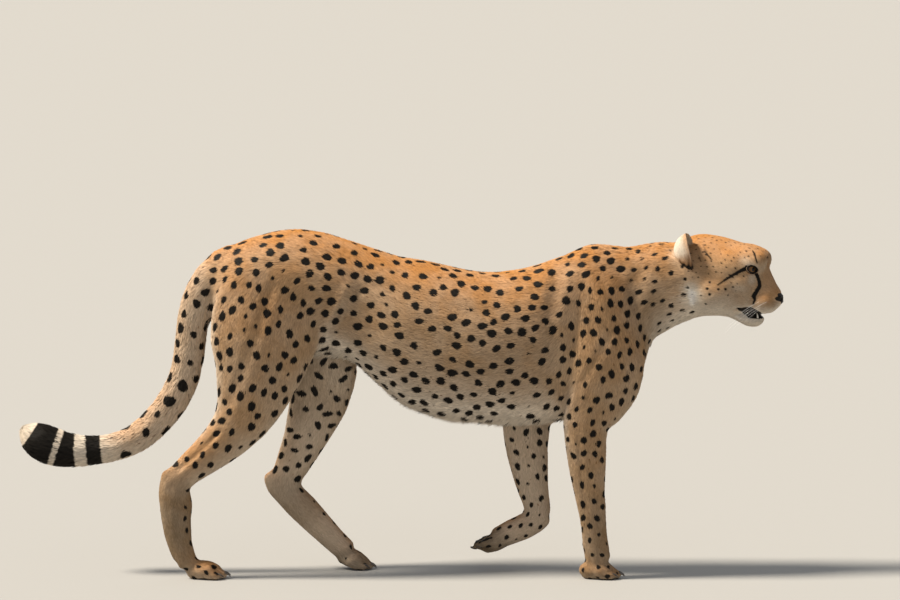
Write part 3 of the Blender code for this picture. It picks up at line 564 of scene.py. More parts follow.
# pushes on the front of the muzzle: distance from the middle and height, radii, and push in millimetres
FRONT_PUSHES = (
    ((0.0088, -0.0440), (0.014, 0.0040, 0.0038), -8.0),  # nostril
    ((0.0140, -0.0465), (0.014, 0.0048, 0.0024), -4.0),  # its slit
    ((0.0105, -0.0375), (0.012, 0.0070, 0.0032), 1.5),  # rim over it
    ((0.0170, -0.0440), (0.012, 0.0050, 0.0050), 1.0),  # wing beside it
    ((0.0215, -0.0620), (0.020, 0.0120, 0.0110), 2.4),  # whisker pad
)
# the same for grooves down the middle: heights, then fade and depth
FRONT_GROOVES = (((-0.034, -0.042, -0.050, -0.056), 2.0, -0.9), ((-0.056, -0.063, -0.070, -0.076), 2.6, -2.6))
FRONT_REACH = 0.0022
print(len(HEAD_PUSHES) + len(FRONT_PUSHES), "pushes and", 1 + len(FRONT_GROOVES), "grooves")


# %% Push and groove
def front_x(own, across, height):
    """How far forward the muzzle reaches at a distance from the middle and a height."""
    near = (np.abs(own[:, 1] - across) < FRONT_REACH) & (np.abs(own[:, 2] - height) < FRONT_REACH)
    return own[near, 0].max()


def sculpt_head():
    mesh = skin.data
    points, normals = points_of(mesh), normals_of(mesh)
    own = in_head(points)
    near = np.nonzero((own[:, 0] > -0.12) & (np.linalg.norm(own, axis=1) < 0.24))[0]
    own, push = own[near], np.zeros(len(near))
    for centre, radii, amount in HEAD_PUSHES:
        push += within(own, centre, radii) * amount
    push += groove(own, *MOUTH[:2]) * MOUTH[2]
    for (across, height), radii, amount in FRONT_PUSHES:
        push += within(own, (front_x(own, across, height), across, height), radii) * amount
    for heights, fade, amount in FRONT_GROOVES:
        rows = [(front_x(own, 0, height), 0, height, 0.2) for height in heights]
        push += groove(own, rows, fade) * amount
    points[near] += normals[near] * push[:, None] / 1000
    set_points(mesh, points)
    share = np.zeros(len(points))
    share[near] = 1
    set_points(mesh, relax(points, mesh, 1, share=share, keep_volume=True))


sculpt_head()
print("head sculpted")

# %% [markdown]
# Muscles, folds and toes
#
# Under a short coat the shoulder blade, the long muscles of the thigh, the loose fold before the knee and
# the tendon of the heel all show. They are pushed in and out of the skin as well, each side on its own,
# because the legs stand differently.

# %% Push the body
# x, distance from the middle, z, then radii and push in millimetres, for one side
BODY_PUSHES = {
    -1: (
        ((0.445, 0.095, 0.530), (0.085, 0.070, 0.110), 5.0),  # upper arm
        ((0.480, 0.085, 0.665), (0.060, 0.060, 0.075), 3.0),  # shoulder
        ((0.402, 0.100, 0.432), (0.034, 0.050, 0.036), 4.0),  # elbow
        ((-0.085, 0.080, 0.640), (0.110, 0.060, 0.100), -7.0),  # hollow of the flank
        ((-0.300, 0.070, 0.775), (0.050, 0.050, 0.030), 4.0),  # hip
        ((-0.225, 0.100, 0.480), (0.050, 0.050, 0.050), 4.0),  # knee
        ((-0.350, 0.100, 0.600), (0.060, 0.060, 0.100), 3.0),  # thigh
        ((0.250, 0.105, 0.560), (0.120, 0.050, 0.120), 2.5),  # ribs
    ),
    1: (
        ((0.400, 0.095, 0.520), (0.085, 0.070, 0.110), 5.0),
        ((0.445, 0.085, 0.665), (0.060, 0.060, 0.075), 3.0),
        ((0.270, 0.100, 0.415), (0.034, 0.050, 0.036), 4.0),
        ((-0.060, 0.080, 0.650), (0.100, 0.060, 0.100), -7.0),
        ((-0.290, 0.070, 0.775), (0.050, 0.050, 0.030), 4.0),
        ((-0.115, 0.100, 0.450), (0.050, 0.050, 0.050), 4.0),
        ((-0.270, 0.100, 0.600), (0.060, 0.060, 0.100), 3.0),
        ((0.250, 0.105, 0.560), (0.120, 0.050, 0.120), 2.5),
    ),
}
# rows of x, z and half width on the outer side, then the fade and the depth, in millimetres
BODY_GROOVES = {
    -1: (
        # behind the shoulder, ridge of the blade, before the shoulder, between the arm's muscles
        (((0.372, 0.720, 2), (0.352, 0.620, 3), (0.362, 0.500, 3), (0.385, 0.440, 2)), 26, -5.0),
        (((0.430, 0.745, 1), (0.462, 0.680, 2), (0.500, 0.600, 2)), 16, 2.5),
        (((0.560, 0.720, 2), (0.545, 0.640, 3), (0.565, 0.540, 2)), 26, -4.5),
        (((0.500, 0.590, 1), (0.470, 0.540, 2), (0.430, 0.470, 1)), 14, -2.5),
        # fold of the flank and the hollow before it, thigh, before the heel's tendon, back of the forearm
        (((-0.125, 0.690, 1), (-0.170, 0.600, 3), (-0.205, 0.500, 3), (-0.225, 0.440, 1)), 15, 4.0),
        (((-0.095, 0.690, 1), (-0.140, 0.600, 2), (-0.170, 0.520, 1)), 16, -4.0),
        (((-0.300, 0.690, 1), (-0.335, 0.580, 2), (-0.375, 0.480, 2), (-0.400, 0.420, 1)), 20, -3.0),
        (((-0.425, 0.350, 1), (-0.475, 0.300, 1.5), (-0.520, 0.262, 1)), 9, -3.5),
        (((0.420, 0.330, 1), (0.428, 0.240, 2), (0.440, 0.160, 1)), 9, -2.0),
    ),
    1: (
        (((0.345, 0.720, 2), (0.322, 0.620, 3), (0.300, 0.520, 3), (0.262, 0.450, 2)), 26, -5.0),
        (((0.405, 0.745, 1), (0.430, 0.680, 2), (0.462, 0.600, 2)), 16, 2.5),
        (((0.535, 0.720, 2), (0.515, 0.640, 3), (0.530, 0.520, 2)), 26, -4.5),
        (((-0.060, 0.670, 1), (-0.085, 0.580, 3), (-0.100, 0.480, 3), (-0.105, 0.430, 1)), 15, 4.0),
        (((-0.225, 0.690, 1), (-0.220, 0.580, 2), (-0.235, 0.460, 2), (-0.240, 0.400, 1)), 20, -3.0),
        (((-0.245, 0.320, 1), (-0.268, 0.270, 1.5), (-0.285, 0.235, 1)), 9, -3.5),
        (((0.285, 0.320, 1), (0.290, 0.240, 2), (0.302, 0.180, 1)), 9, -2.0),
    ),
}
print("pushes and grooves for each side", [len(t[s]) for t in (BODY_PUSHES, BODY_GROOVES) for s in (-1, 1)])

# %% The paws
TOE_ACROSS = (-0.0240, -0.0085, 0.0085, 0.0240)
TOE_FORWARD = (0.056, 0.071, 0.071, 0.056)
TOE_HINGE, CLAW_SPREAD = 0.046, 1.08
# hind end of the sole, how far the toes tip down and bend back up in degrees, and their spread
PAWS = {
    "forepaw_right": ((0.430, -0.067, -0.003), 0, 0, 1.0),
    "hindfoot_right": ((-0.497, -0.069, -0.003), 0, 0, 1.0),
    "hindfoot_left": ((-0.152, 0.076, 0.0170), 24, 20, 1.0),
    "forepaw_left": ((0.250, 0.076, 0.106), 150, -6, 0.9),
}
# the gap between two toes: rows of x and z in the paw's own frame, then its fade and depth in millimetres
BETWEEN_TOES = (((0.040, 0.036), (0.060, 0.034), (0.082, 0.022), (0.088, 0.010)), 5.0, -5.0)
TOES_MIDDLE, TOES_REACH = Vector((0.05, 0, 0.01)), 0.075
# softened corner over the sole, and the pads behind the wrists: middle, radii and push
FOOT_PUSHES = (
    ((-0.534, -0.069, 0.030), (0.022, 0.040, 0.018), -6.0),
    ((0.284, 0.076, 0.137), (0.016, 0.014, 0.012), 3.0),
    ((0.428, -0.067, 0.078), (0.012, 0.012, 0.014), 2.5),
)
# bare pads: middle and radii, for the sole and for each toe, in the paw's own frame
SOLE_PAD = ((0.022, 0.000, 0.003), (0.021, 0.019, 0.0062))
TOE_PAD = ((0.003, 0.000, 0.003), (0.0120, 0.0078, 0.0062))
WRIST_PADS = (((0.284, 0.076, 0.139), (0.011, 0.008, 0.008)), ((0.424, -0.067, 0.078), (0.008, 0.008, 0.009)))


def toe_frame(heel, tip_down, bend_up):
    """The frame of a paw's toes, which bend up about a hinge in front of the sole."""
    hinge = Matrix.Translation((TOE_HINGE, 0, 0))
    place = Matrix.Translation(heel) @ Matrix.Rotation(math.radians(tip_down), 4, "Y")
    return place @ hinge @ Matrix.Rotation(math.radians(-bend_up), 4, "Y") @ hinge.inverted()


print("paws", ", ".join(PAWS))


# %% Sculpt body and paws
def sculpt_body():
    mesh = skin.data
    points, normals = points_of(mesh), normals_of(mesh)
    push = np.zeros(len(points))
    for side in (-1, 1):
        # one side, without the middle and the neck
        near = np.nonzero((points[:, 1] * side > 0.02) & (points[:, 0] < 0.62))[0]
        own = points[near] * (1, side, 1)
        out = np.clip(normals[near, 1] * side, 0, 1)
        for centre, radii, amount in BODY_PUSHES[side]:
            push[near] += within(own, centre, radii) * amount * out
        for rows, fade, amount in BODY_GROOVES[side]:
            push[near] += groove(own[:, [0, 2]], rows, fade) * amount * soft_step(0.1, 0.6, out)
    path, fade, amount = BETWEEN_TOES
    for heel, tip_down, bend_up, spread in PAWS.values():
        toes = toe_frame(heel, tip_down, bend_up)
        away = np.linalg.norm(points - np.array(toes @ TOES_MIDDLE), axis=1)
        near = np.nonzero(away < TOES_REACH)[0]
        for across in (np.array(TOE_ACROSS[:-1]) + np.array(TOE_ACROSS[1:])) / 2:
            rows = [(*(toes @ Vector((x, across * spread, z))), 0.3) for x, z in path]
            push[near] += groove(points[near], rows, fade) * amount
    for centre, radii, amount in FOOT_PUSHES:
        push += within(points, centre, radii) * amount
    set_points(mesh, points + normals * push[:, None] / 1000)
    print("body pushed", round(push.min(), 1), "to", round(push.max(), 1), "mm")


sculpt_body()

# %% Fewer triangles where the form is plain
SKIN_TRIANGLES = 192_000
# how much each part holds on to its triangles
HOLDS = {"head": 1.0, "lower_jaw": 1.0, "ear": 1.0, "forepaw": 0.4, "hindfoot": 0.3}
HOLD_FACTOR = 9e-6


def thin_out(obj, triangles):
    holds = per_solid(HOLDS, 0.0)[skin_owner]
    group = obj.vertex_groups.new(name="plain")
    for level in np.unique(holds):
        group.add(np.nonzero(holds == level)[0].tolist(), float(1 - 0.9 * level), "REPLACE")
    step = obj.modifiers.new("fewer", "DECIMATE")
    step.ratio = triangles / len(obj.data.polygons)
    step.vertex_group = group.name
    step.vertex_group_factor = HOLD_FACTOR
    evaluated(obj)
    obj.vertex_groups.clear()


thin_out(skin, SKIN_TRIANGLES)
smooth_faces(skin.data)
skin_points, skin_normals = points_of(skin.data), normals_of(skin.data)
skin_owner = owners(skin_points)
print("skin", len(skin_points), "points,", len(skin.data.polygons), "triangles")


# %% [markdown]
# Which way the hair lies, and how long it is
#
# Every point of the skin takes the direction of the line through its limb, laid flat on the surface. On the
# face the hair runs away from the nose instead. Blurring the directions over the skin turns the sudden
# changes between limbs into the swirls that a real coat has there.

# %% Fields on the skin
LINE_NAMES = list(LINES)
NOSE_TIP = np.array(head_point(0.150, 0.0, -0.046))
LIE_TURNS, LIE_BLUR, COAT_BLUR = 3, 14, 10
BELLY_LONGER = 1.0  # how much longer the hair of the belly is
WIDER = 0.25  # and how much of that a lock gains in width
# where the hair is longer: middle, radii and how much
LONG_PLACES = (
    ((0.500, 0.000, 0.800), (0.130, 0.060, 0.060), 0.7),  # mane over the shoulders
    ((0.600, 0.000, 0.810), (0.120, 0.050, 0.050), 0.6),  # nape
    ((-0.080, 0.000, 0.470), (0.160, 0.080, 0.060), 0.6),  # fold before the hind legs
    ((-0.440, -0.060, 0.560), (0.060, 0.060, 0.140), 0.4),  # buttocks
    ((-0.400, 0.060, 0.560), (0.060, 0.060, 0.140), 0.4),
    ((0.540, 0.000, 0.480), (0.060, 0.080, 0.080), 0.5),  # breast
)
LONG_HEAD_PLACES = (
    ((-0.050, 0.070, -0.045), (0.050, 0.040, 0.050), 0.9),  # ruff behind the cheek
    ((0.080, 0.020, -0.100), (0.060, 0.040, 0.020), 0.4),  # chin
)
FACE_REACH = (0.16, 0.24)  # where the hair of the face gives way to the neck's, from the nose


def on_line(groups, *names):
    """True for the points that follow one of the named lines."""
    return np.isin(groups, [LINE_NAMES.index(name) for name in names])


def flat_on(ways, normals):
    """Directions laid flat on the surface."""
    return unit(ways - normals * (ways * normals).sum(1)[:, None])


def skin_fields():
    groups = np.array([LINE_NAMES.index(NODE_LINES[node]) for node in FLESH])[skin_owner]
    lie = np.zeros_like(skin_points)
    for number, name in enumerate(LINE_NAMES):
        mine = groups == number
        lie[mine] = along_line(skin_points[mine], LINES[name])[1]
    from_nose = skin_points - NOSE_TIP
    reach = np.linalg.norm(from_nose, axis=1)
    face = on_line(groups, "head") * (1 - soft_step(*FACE_REACH, reach))
    lie = lie * (1 - face)[:, None] + unit(from_nose) * face[:, None]
    for _ in range(LIE_TURNS):
        lie = relax(flat_on(lie, skin_normals), skin.data, LIE_BLUR)
    lie = flat_on(lie, skin_normals)
    coat = relax(COAT_TABLE[skin_owner], skin.data, COAT_BLUR)
    longer = BELLY_LONGER * on_line(groups, "trunk") * soft_step(-0.35, -0.95, skin_normals[:, 2])
    longer = np.maximum(longer, strongest(skin_points, LONG_PLACES, 0.5))
    longer = np.maximum(longer, strongest(in_head(skin_points), LONG_HEAD_PLACES, 0.5))
    coat[:, 1] *= 1 + longer
    coat[:, 2] *= 1 + WIDER * longer
    return groups, lie, coat


skin_group, skin_lie, skin_coat = skin_fields()
print("points per line", {n: int((skin_group == i).sum()) for i, n in enumerate(LINE_NAMES)})

# %% [markdown]
# Spots
#
# A cheetah's spots are solid, nearly round and evenly scattered. Places are thrown on the skin at random
# and kept only where no other is too near, then each moves to the middle of the skin that is nearest to it,
# which evens them out. Their outlines are stored as a distance, below zero inside a spot, so that skin and
# coat draw the same sharp edges.

# %% Throw the spots
# Per solid: distance between spots and their radius in millimetres, and how much longer than wide they are.
SPOTS = {
    "head": (10.0, 2.5, 1.25), "lower_jaw": (60.0, 2.0, 1.0), "ear": (200.0, 1.0, 1.0),
    "neck": (21.8, 7.0, 1.25), "trunk": (26.2, 10.1, 1.12), "upper_arm": (23.8, 8.8, 1.18),
    "forearm": (23.5, 8.0, 1.25), "forepaw": (21.0, 5.8, 1.25), "thigh": (26.6, 10.1, 1.10),
    "shank": (26.5, 9.2, 1.22),
    "hindfoot": (22.0, 5.6, 1.3), "tail_root": (31.0, 10.6, 1.1), "tail_middle": (35.0, 12.4, 1.15),
    "tail_tip": (37.0, 13.0, 1.1),
}
SPOT_BLUR, SPOT_ROUNDS = 8, 2
FIRST_SHARE, LAST_SHARE = 0.84, 0.88  # how much of the distance is asked for before and after evening out
LIE_ROOM = 0.36  # how much more room the spots take along the hair than across it
DART_TRIES = 26_000
SAME_SIDE = -0.2  # two places that face further apart lie on two sides of a limb


def tree_of(places):
    made = KDTree(len(places))
    for i, place in enumerate(places):
        made.insert(place, i)
    made.balance()
    return made


def triangle_areas():
    a, b, c = skin_points[corners_of(skin.data).T]
    return np.linalg.norm(np.cross(b - a, c - a), axis=1) / 2


def point_areas():
    """The share of the skin's area round each of its points."""
    return np.bincount(corners_of(skin.data).ravel(), np.repeat(triangle_areas() / 3, 3), len(skin_points))


def thrown(order, spacing, taken=(), clear=0.0):
    """Indices of skin points, none nearer to another than its spacing or to a taken place than clear."""
    kept = np.empty((len(order), 3))
    chosen = []
    taken_tree = tree_of(taken) if len(taken) else None
    for i in order.tolist():
        place = skin_points[i]
        count = len(chosen)
        if count:
            gap = kept[:count] - place
            near = (gap**2).sum(1) - LIE_ROOM * (gap @ skin_lie[i]) ** 2 < spacing[i] ** 2
            if near.any() and (skin_normals[np.array(chosen)[near]] @ skin_normals[i] > SAME_SIDE).any():
                continue
        if taken_tree is not None and taken_tree.find(place)[2] < clear[i]:
            continue
        kept[count] = place
        chosen.append(i)
    return np.array(chosen)


def evened(chosen, rounds):
    """Move each spot to the middle of the skin that is nearest to it."""
    skin_tree, weight = tree_of(skin_points), point_areas()
    for _ in range(rounds):
        spots_tree = tree_of(skin_points[chosen])
        nearest = np.array([spots_tree.find(p)[1] for p in skin_points.tolist()])
        count = np.maximum(np.bincount(nearest, weight, len(chosen)), 1e-12)
        sums = [np.bincount(nearest, weight * skin_points[:, k], len(chosen)) for k in range(3)]
        middle = np.stack(sums, 1) / count[:, None]
        chosen = np.array([skin_tree.find(p)[1] for p in middle.tolist()])
    return chosen


spot_table = relax(per_solid(SPOTS)[skin_owner], skin.data, SPOT_BLUR)
spacing = spot_table[:, 0] / 1000
share = point_areas()
coarse = RANDOM.choice(len(skin_points), DART_TRIES, replace=False, p=share / share.sum())
chosen = thrown(evened(thrown(coarse, spacing * FIRST_SHARE), SPOT_ROUNDS), spacing * LAST_SHARE)
print("spots", len(chosen))


# %% Their shapes
BAR_STRETCH, BAR_HEIGHTS = 1.9, (0.28, 0.56)
SPOT_TURN, SPOT_SIZE = 0.5, (0.82, 1.10)  # spread of their directions, and of their sizes
SMALL_SHARE, SMALL_SIZE = 0.12, 0.62  # some of them are small
UNEVEN = ((2, 0.10), (3, 0.07))  # waves round a spot's outline and their height
FLECK_SPACING, FLECK_RADIUS, FLECK_STRETCH, FLECK_TRIES = 0.017, (0.0015, 0.0032), 1.4, 30_000
FLECK_ROOM, FLECK_DEPTH = 0.0058, 0.0026  # room kept to the spots, and the coat's depth below which none grow
PLAIN_BEHIND = 0.35  # the hind cannons are plain where they face less forwards than this


def is_barred(points, normals):
    """True on the inner sides of the hind legs' upper halves, where the spots widen into bars."""
    inner = normals[:, 1] * np.sign(points[:, 1]) < -0.3
    return inner & (points[:, 2] > BAR_HEIGHTS[0]) & (points[:, 2] < BAR_HEIGHTS[1]) & (points[:, 0] < 0.0)


def spot_shapes(chosen, radius, stretch):
    """Centre, direction, cross direction, normal, radius, stretch and phases of the uneven outline."""
    count = len(chosen)
    along, up = skin_lie[chosen], skin_normals[chosen]
    turn = RANDOM.normal(0, SPOT_TURN, count)[:, None]
    barred = is_barred(skin_points[chosen], up)
    turn[barred, 0] += math.pi / 2
    stretch = np.where(barred, BAR_STRETCH, stretch)
    across = np.cross(up, along)
    along = unit(along * np.cos(turn) + across * np.sin(turn))
    phases = RANDOM.uniform(0, 2 * math.pi, (count, 2))
    return skin_points[chosen], along, np.cross(up, along), up, radius, stretch, phases


def distance_to_spots(points, shapes, near=3):
    """Distance from each point to the nearest spot's edge, below zero inside."""
    centre, along, across, up, radius, stretch, phases = shapes
    found = tree_of(centre)
    nearest = np.array([[hit[1] for hit in found.find_n(p, near)] for p in points.tolist()])
    best = np.full(len(points), 1.0)
    for k in range(near):
        i = nearest[:, k]
        gap = points - centre[i]
        u = (gap * along[i]).sum(1) / np.sqrt(stretch[i])
        v = (gap * across[i]).sum(1) * np.sqrt(stretch[i])
        angle, edge = np.arctan2(v, u), 1
        for (waves, rise), phase in zip(UNEVEN, phases[i].T):
            edge = edge + rise * np.sin(waves * angle + phase)
        edge = radius[i] * edge
        away = np.abs((gap * up[i]).sum(1)) > 2.2 * radius[i] + 0.004  # on the limb's other side
        best = np.minimum(best, np.where(away, 1.0, np.hypot(u, v) - edge))
    return best


print("spots turned into bars", int(is_barred(skin_points[chosen], skin_normals[chosen]).sum()))


# %% Leave some places plain, and put small flecks between the spots
def unspotted(chosen):
    """True on the muzzle and cheeks, whose spots are drawn one by one, and on the hind cannons."""
    own = in_head(skin_points[chosen])
    muzzle = (own[:, 0] > 0.095) & (own[:, 2] < 0.050)
    cheek = (own[:, 0] > -0.045) & (own[:, 2] < 0.008)
    foot = np.isin(skin_owner[chosen], [FLESH.index("hindfoot_" + side) for side in SIDES])
    cannon = foot & (skin_normals[chosen, 0] < PLAIN_BEHIND) & (skin_points[chosen, 2] > 0.035)
    return muzzle | cheek | cannon


chosen = chosen[~unspotted(chosen)]
size = spot_table[chosen, 1] / 1000 * RANDOM.uniform(*SPOT_SIZE, len(chosen))
size[RANDOM.uniform(size=len(chosen)) < SMALL_SHARE] *= SMALL_SIZE
spots = spot_shapes(chosen, size, spot_table[chosen, 2])
clear = spot_table[:, 1] / 1000 + FLECK_ROOM
flecked = RANDOM.permutation(np.nonzero(skin_coat[:, 0] > FLECK_DEPTH)[0])[:FLECK_TRIES]
flecked = thrown(flecked, np.full(len(skin_points), FLECK_SPACING), spots[0], clear)
fleck_sizes = RANDOM.uniform(*FLECK_RADIUS, len(flecked))
flecks = spot_shapes(flecked, fleck_sizes, np.full(len(flecked), FLECK_STRETCH))
print("small flecks between them", len(flecked))

# %% [markdown]
# The drawn marks of the face, and the tail's rings
#
# The tear line, the dark eye rims, the lips and the backs of the ears are drawn as strokes with a width, in
# the head's own axes, once for each side.

# %% Strokes on the head
STROKES = (
    # tear line, from the eye's inner corner to the mouth
    ((0.1035, 0.0440, 0.0240, 3.2), (0.1095, 0.0370, 0.0120, 4.6), (0.1147, 0.0358, -0.0024, 5.2),
     (0.1150, 0.0371, -0.0116, 5.4), (0.1085, 0.0398, -0.0233, 5.0), (0.1017, 0.0412, -0.0351, 5.6),
     (0.1043, 0.0418, -0.0444, 3.6), (0.1000, 0.0417, -0.0540, 3.0)),
    # line behind the eye: partly its own dark streak, partly painted shade where the lit cheek meets the
    # shaded lower face
    ((0.0870, 0.0540, 0.0310, 5.5), (0.0760, 0.0570, 0.0270, 4.4), (0.0605, 0.0619, 0.0177, 3.6),
     (0.0375, 0.0658, 0.0034, 3.0), (0.0222, 0.0723, -0.0082, 2.2)),
    # dark strokes before the ear
    ((-0.0280, 0.0445, 0.0910, 2.0), (-0.0075, 0.0590, 0.0690, 2.6)),
    ((-0.0180, 0.0566, 0.0740, 2.2), (0.0060, 0.0653, 0.0500, 2.2)),
    ((-0.0280, 0.0630, 0.0620, 2.0), (-0.0195, 0.0690, 0.0460, 2.4)),
)
# black skin of the lips round the open mouth, from the side: rows of x, z and half width
LIPS = (
    (0.0632, -0.0640, 1.6), (0.0700, -0.0680, 5.0), (0.0800, -0.0725, 10.5), (0.0920, -0.0757, 14.5),
    (0.1020, -0.0785, 12.5), (0.1100, -0.0812, 10.6), (0.1160, -0.0838, 8.2),
)
# painted shade: a dark line over the brow where it meets the shaded hollow between the eyes, from the side
BROW_SHADE_LINE = ((0.0960, 0.0720, 1.0), (0.1040, 0.0640, 1.8), (0.1105, 0.0440, 1.5))
# the nose: its back, height and half width from below up, and the wing beside it as a stroke
NOSE_BACK = 0.146
NOSE_WIDTHS = ((-0.0580, 0.0030), (-0.0545, 0.0085), (-0.0460, 0.0165), (-0.0330, 0.0185), (-0.0300, 0.0150))
NOSE_WING = ((0.1600, 0.0120, -0.0420, 8.0), (0.1520, 0.0180, -0.0425, 6.0), (0.1465, 0.0215, -0.0415, 3.4))
# spots of the cheek: x, y, z and radius in millimetres
CHEEK_SPOTS = (
    (0.052, 0.063, -0.003, 2.6), (0.066, 0.061, -0.005, 2.6), (0.056, 0.061, -0.013, 3.2),
    (0.062, 0.057, -0.023, 3.2), (0.072, 0.058, -0.013, 2.2), (0.066, 0.054, -0.037, 2.8),
    (0.045, 0.065, -0.032, 2.6), (0.080, 0.057, -0.006, 1.8), (0.074, 0.052, -0.026, 2.2),
    (-0.002, 0.076, -0.017, 4.0), (0.004, 0.076, -0.030, 4.2), (0.024, 0.073, -0.018, 3.8),
    (0.039, 0.067, -0.018, 4.0), (-0.017, 0.075, -0.034, 3.4), (-0.038, 0.076, -0.032, 3.2),
    (-0.007, 0.071, -0.054, 3.6), (0.003, 0.073, -0.002, 3.6), (-0.027, 0.076, -0.016, 2.4),
)
print(len(STROKES), "strokes and", len(CHEEK_SPOTS), "spots on each side of the face")

# %% Bare leather of the nose, lips and pads
PAD_WIDTH, PAW_REACH = 0.008, 0.13


def leather_edge(own):
    """Distance to the edge of bare black skin on the nose and lips, below zero on it."""
    heights, widths = np.array(NOSE_WIDTHS).T
    height = own[:, 2]
    beside = own[:, 1] - np.interp(height, heights, widths)
    pad = np.max([beside, height - heights[-1], heights[0] - height, NOSE_BACK - own[:, 0]], axis=0)
    philtrum = np.max([own[:, 1] - 0.0009, np.abs(height + 0.066) - 0.010, 0.13 - own[:, 0]], axis=0)
    return np.min([pad, to_stroke(own, NOSE_WING), philtrum, to_stroke(own[:, [0, 2]], LIPS)], axis=0)


def pad_edge(points):
    """Distance to the edge of the bare pads under the paws and behind the wrists, below zero on them."""
    nearest = np.full(len(points), 1.0)
    for centre, radii in WRIST_PADS:
        nearest = np.minimum(nearest, (np.linalg.norm((points - centre) / radii, axis=1) - 1) * PAD_WIDTH)
    for heel, tip_down, bend_up, spread in PAWS.values():
        near = np.nonzero(np.linalg.norm(points - np.array(heel), axis=1) < PAW_REACH)[0]
        pads, toes = [(toe_frame(heel, tip_down, 0), *SOLE_PAD)], toe_frame(heel, tip_down, bend_up)
        for across, forward in zip(TOE_ACROSS, TOE_FORWARD):
            middle = (forward + TOE_PAD[0][0], across * spread * CLAW_SPREAD, TOE_PAD[0][2])
            pads.append((toes, middle, TOE_PAD[1]))
        for frame, centre, radii in pads:
            turned = (points[near] - np.array(frame.translation)) @ np.array(frame.to_3x3())
            away = np.linalg.norm((turned - centre) / radii, axis=1) - 1
            nearest[near] = np.minimum(nearest[near], away * PAD_WIDTH)
    return nearest


print("skin points on the pads", int((pad_edge(skin_points) < 0).sum()))

# %% Whisker roots, rings of the tail, ears and lids
# roots of the whiskers in four rows, from the side: x and z
WHISKER_ROOTS = [
    (0.134 - 0.009 * k - 0.003 * row, -0.048 - 0.0062 * row) for row in range(4) for k in range(3 + (row > 0))
]
WHISKER_DOT = 0.0008
# start and end of the tail's dark rings by the length along its line, and where the spots end
TAIL_RINGS = ((0.583, 0.618), (0.646, 0.684), (0.698, 0.757))
RINGS_FROM = 0.572
# shares of the ear's length: start and end of the dark patch on its back, and where the pale tip starts
EAR_DARK, EAR_PALE = (0.04, 0.33), 0.46
# the gap between the lids: half its width and height at a distance ahead of the eye, and how pointed it is
LID_GAP, LIDS_AHEAD, LID_POWER = (0.0122, 0.0058), 0.0145, 1.35
EYE_GAZE, LIDS_TILT = math.radians(42), math.radians(14)
LID_DARK, DARK_WIDTH = 1.4, 0.010  # how many gaps wide the dark rim reaches, and what one more is in metres
RIM_REACH, RIM_FALL = 0.0215, 130  # the dark rim ends a little way out from the eye
LID_INNER = 0.7  # how much narrower it is at the inner corner
LID_REACH = 0.034


def eye_axes(sign, outward=EYE_GAZE):
    """Directions of an eye: where it faces, along its slit towards the outer corner, and up."""
    gaze = Vector((math.cos(outward), sign * math.sin(outward), 0))
    slit = Vector((-math.sin(outward), sign * math.cos(outward), 0))
    up = Vector((0, 0, 1))
    tilted = slit * math.cos(LIDS_TILT) + up * math.sin(LIDS_TILT)
    upright = up * math.cos(LIDS_TILT) - slit * math.sin(LIDS_TILT)
    turn = HEAD.to_3x3()
    return tuple(np.array(turn @ v) for v in (gaze, tilted, upright))


def round_the_gap(points, side):
    """How far points lie outside the gap between the lids: one at its edge, two at twice its size."""
    gaze, slit, upright = eye_axes(SIDES[side])
    away = points - EYES[side]
    ahead = np.maximum(away @ gaze, 0.002)
    across, high = (away @ way * LIDS_AHEAD / ahead / size for way, size in zip((slit, upright), LID_GAP))
    widen = np.hypot(across, np.sign(high) * np.abs(high) ** (1 / LID_POWER))
    widen += RIM_FALL * np.maximum(np.linalg.norm(away, axis=1) - RIM_REACH, 0)
    inner = np.maximum(-across, 0) / np.maximum(widen, 1e-6)
    widen = np.where(widen > 1, 1 + (widen - 1) / (1 - LID_INNER * inner**2), widen)
    return np.where(np.linalg.norm(away, axis=1) < LID_REACH, widen, 9.0)


def up_the_ear(points, normals, side):
    """Share of the way from the ear's root to its tip, and whether the place faces into the ear."""
    line = LINES["ear_" + side]
    length, _, offset = along_line(points, line)
    whole = sum(np.linalg.norm(np.subtract(b, a)) for a, b in zip(line, line[1:]))
    return length / whole * (EAR_STOPS[-1] - EAR_STOPS[0]) + EAR_STOPS[0], (offset * normals).sum(1) < 0


print("whisker roots on each side", len(WHISKER_ROOTS))


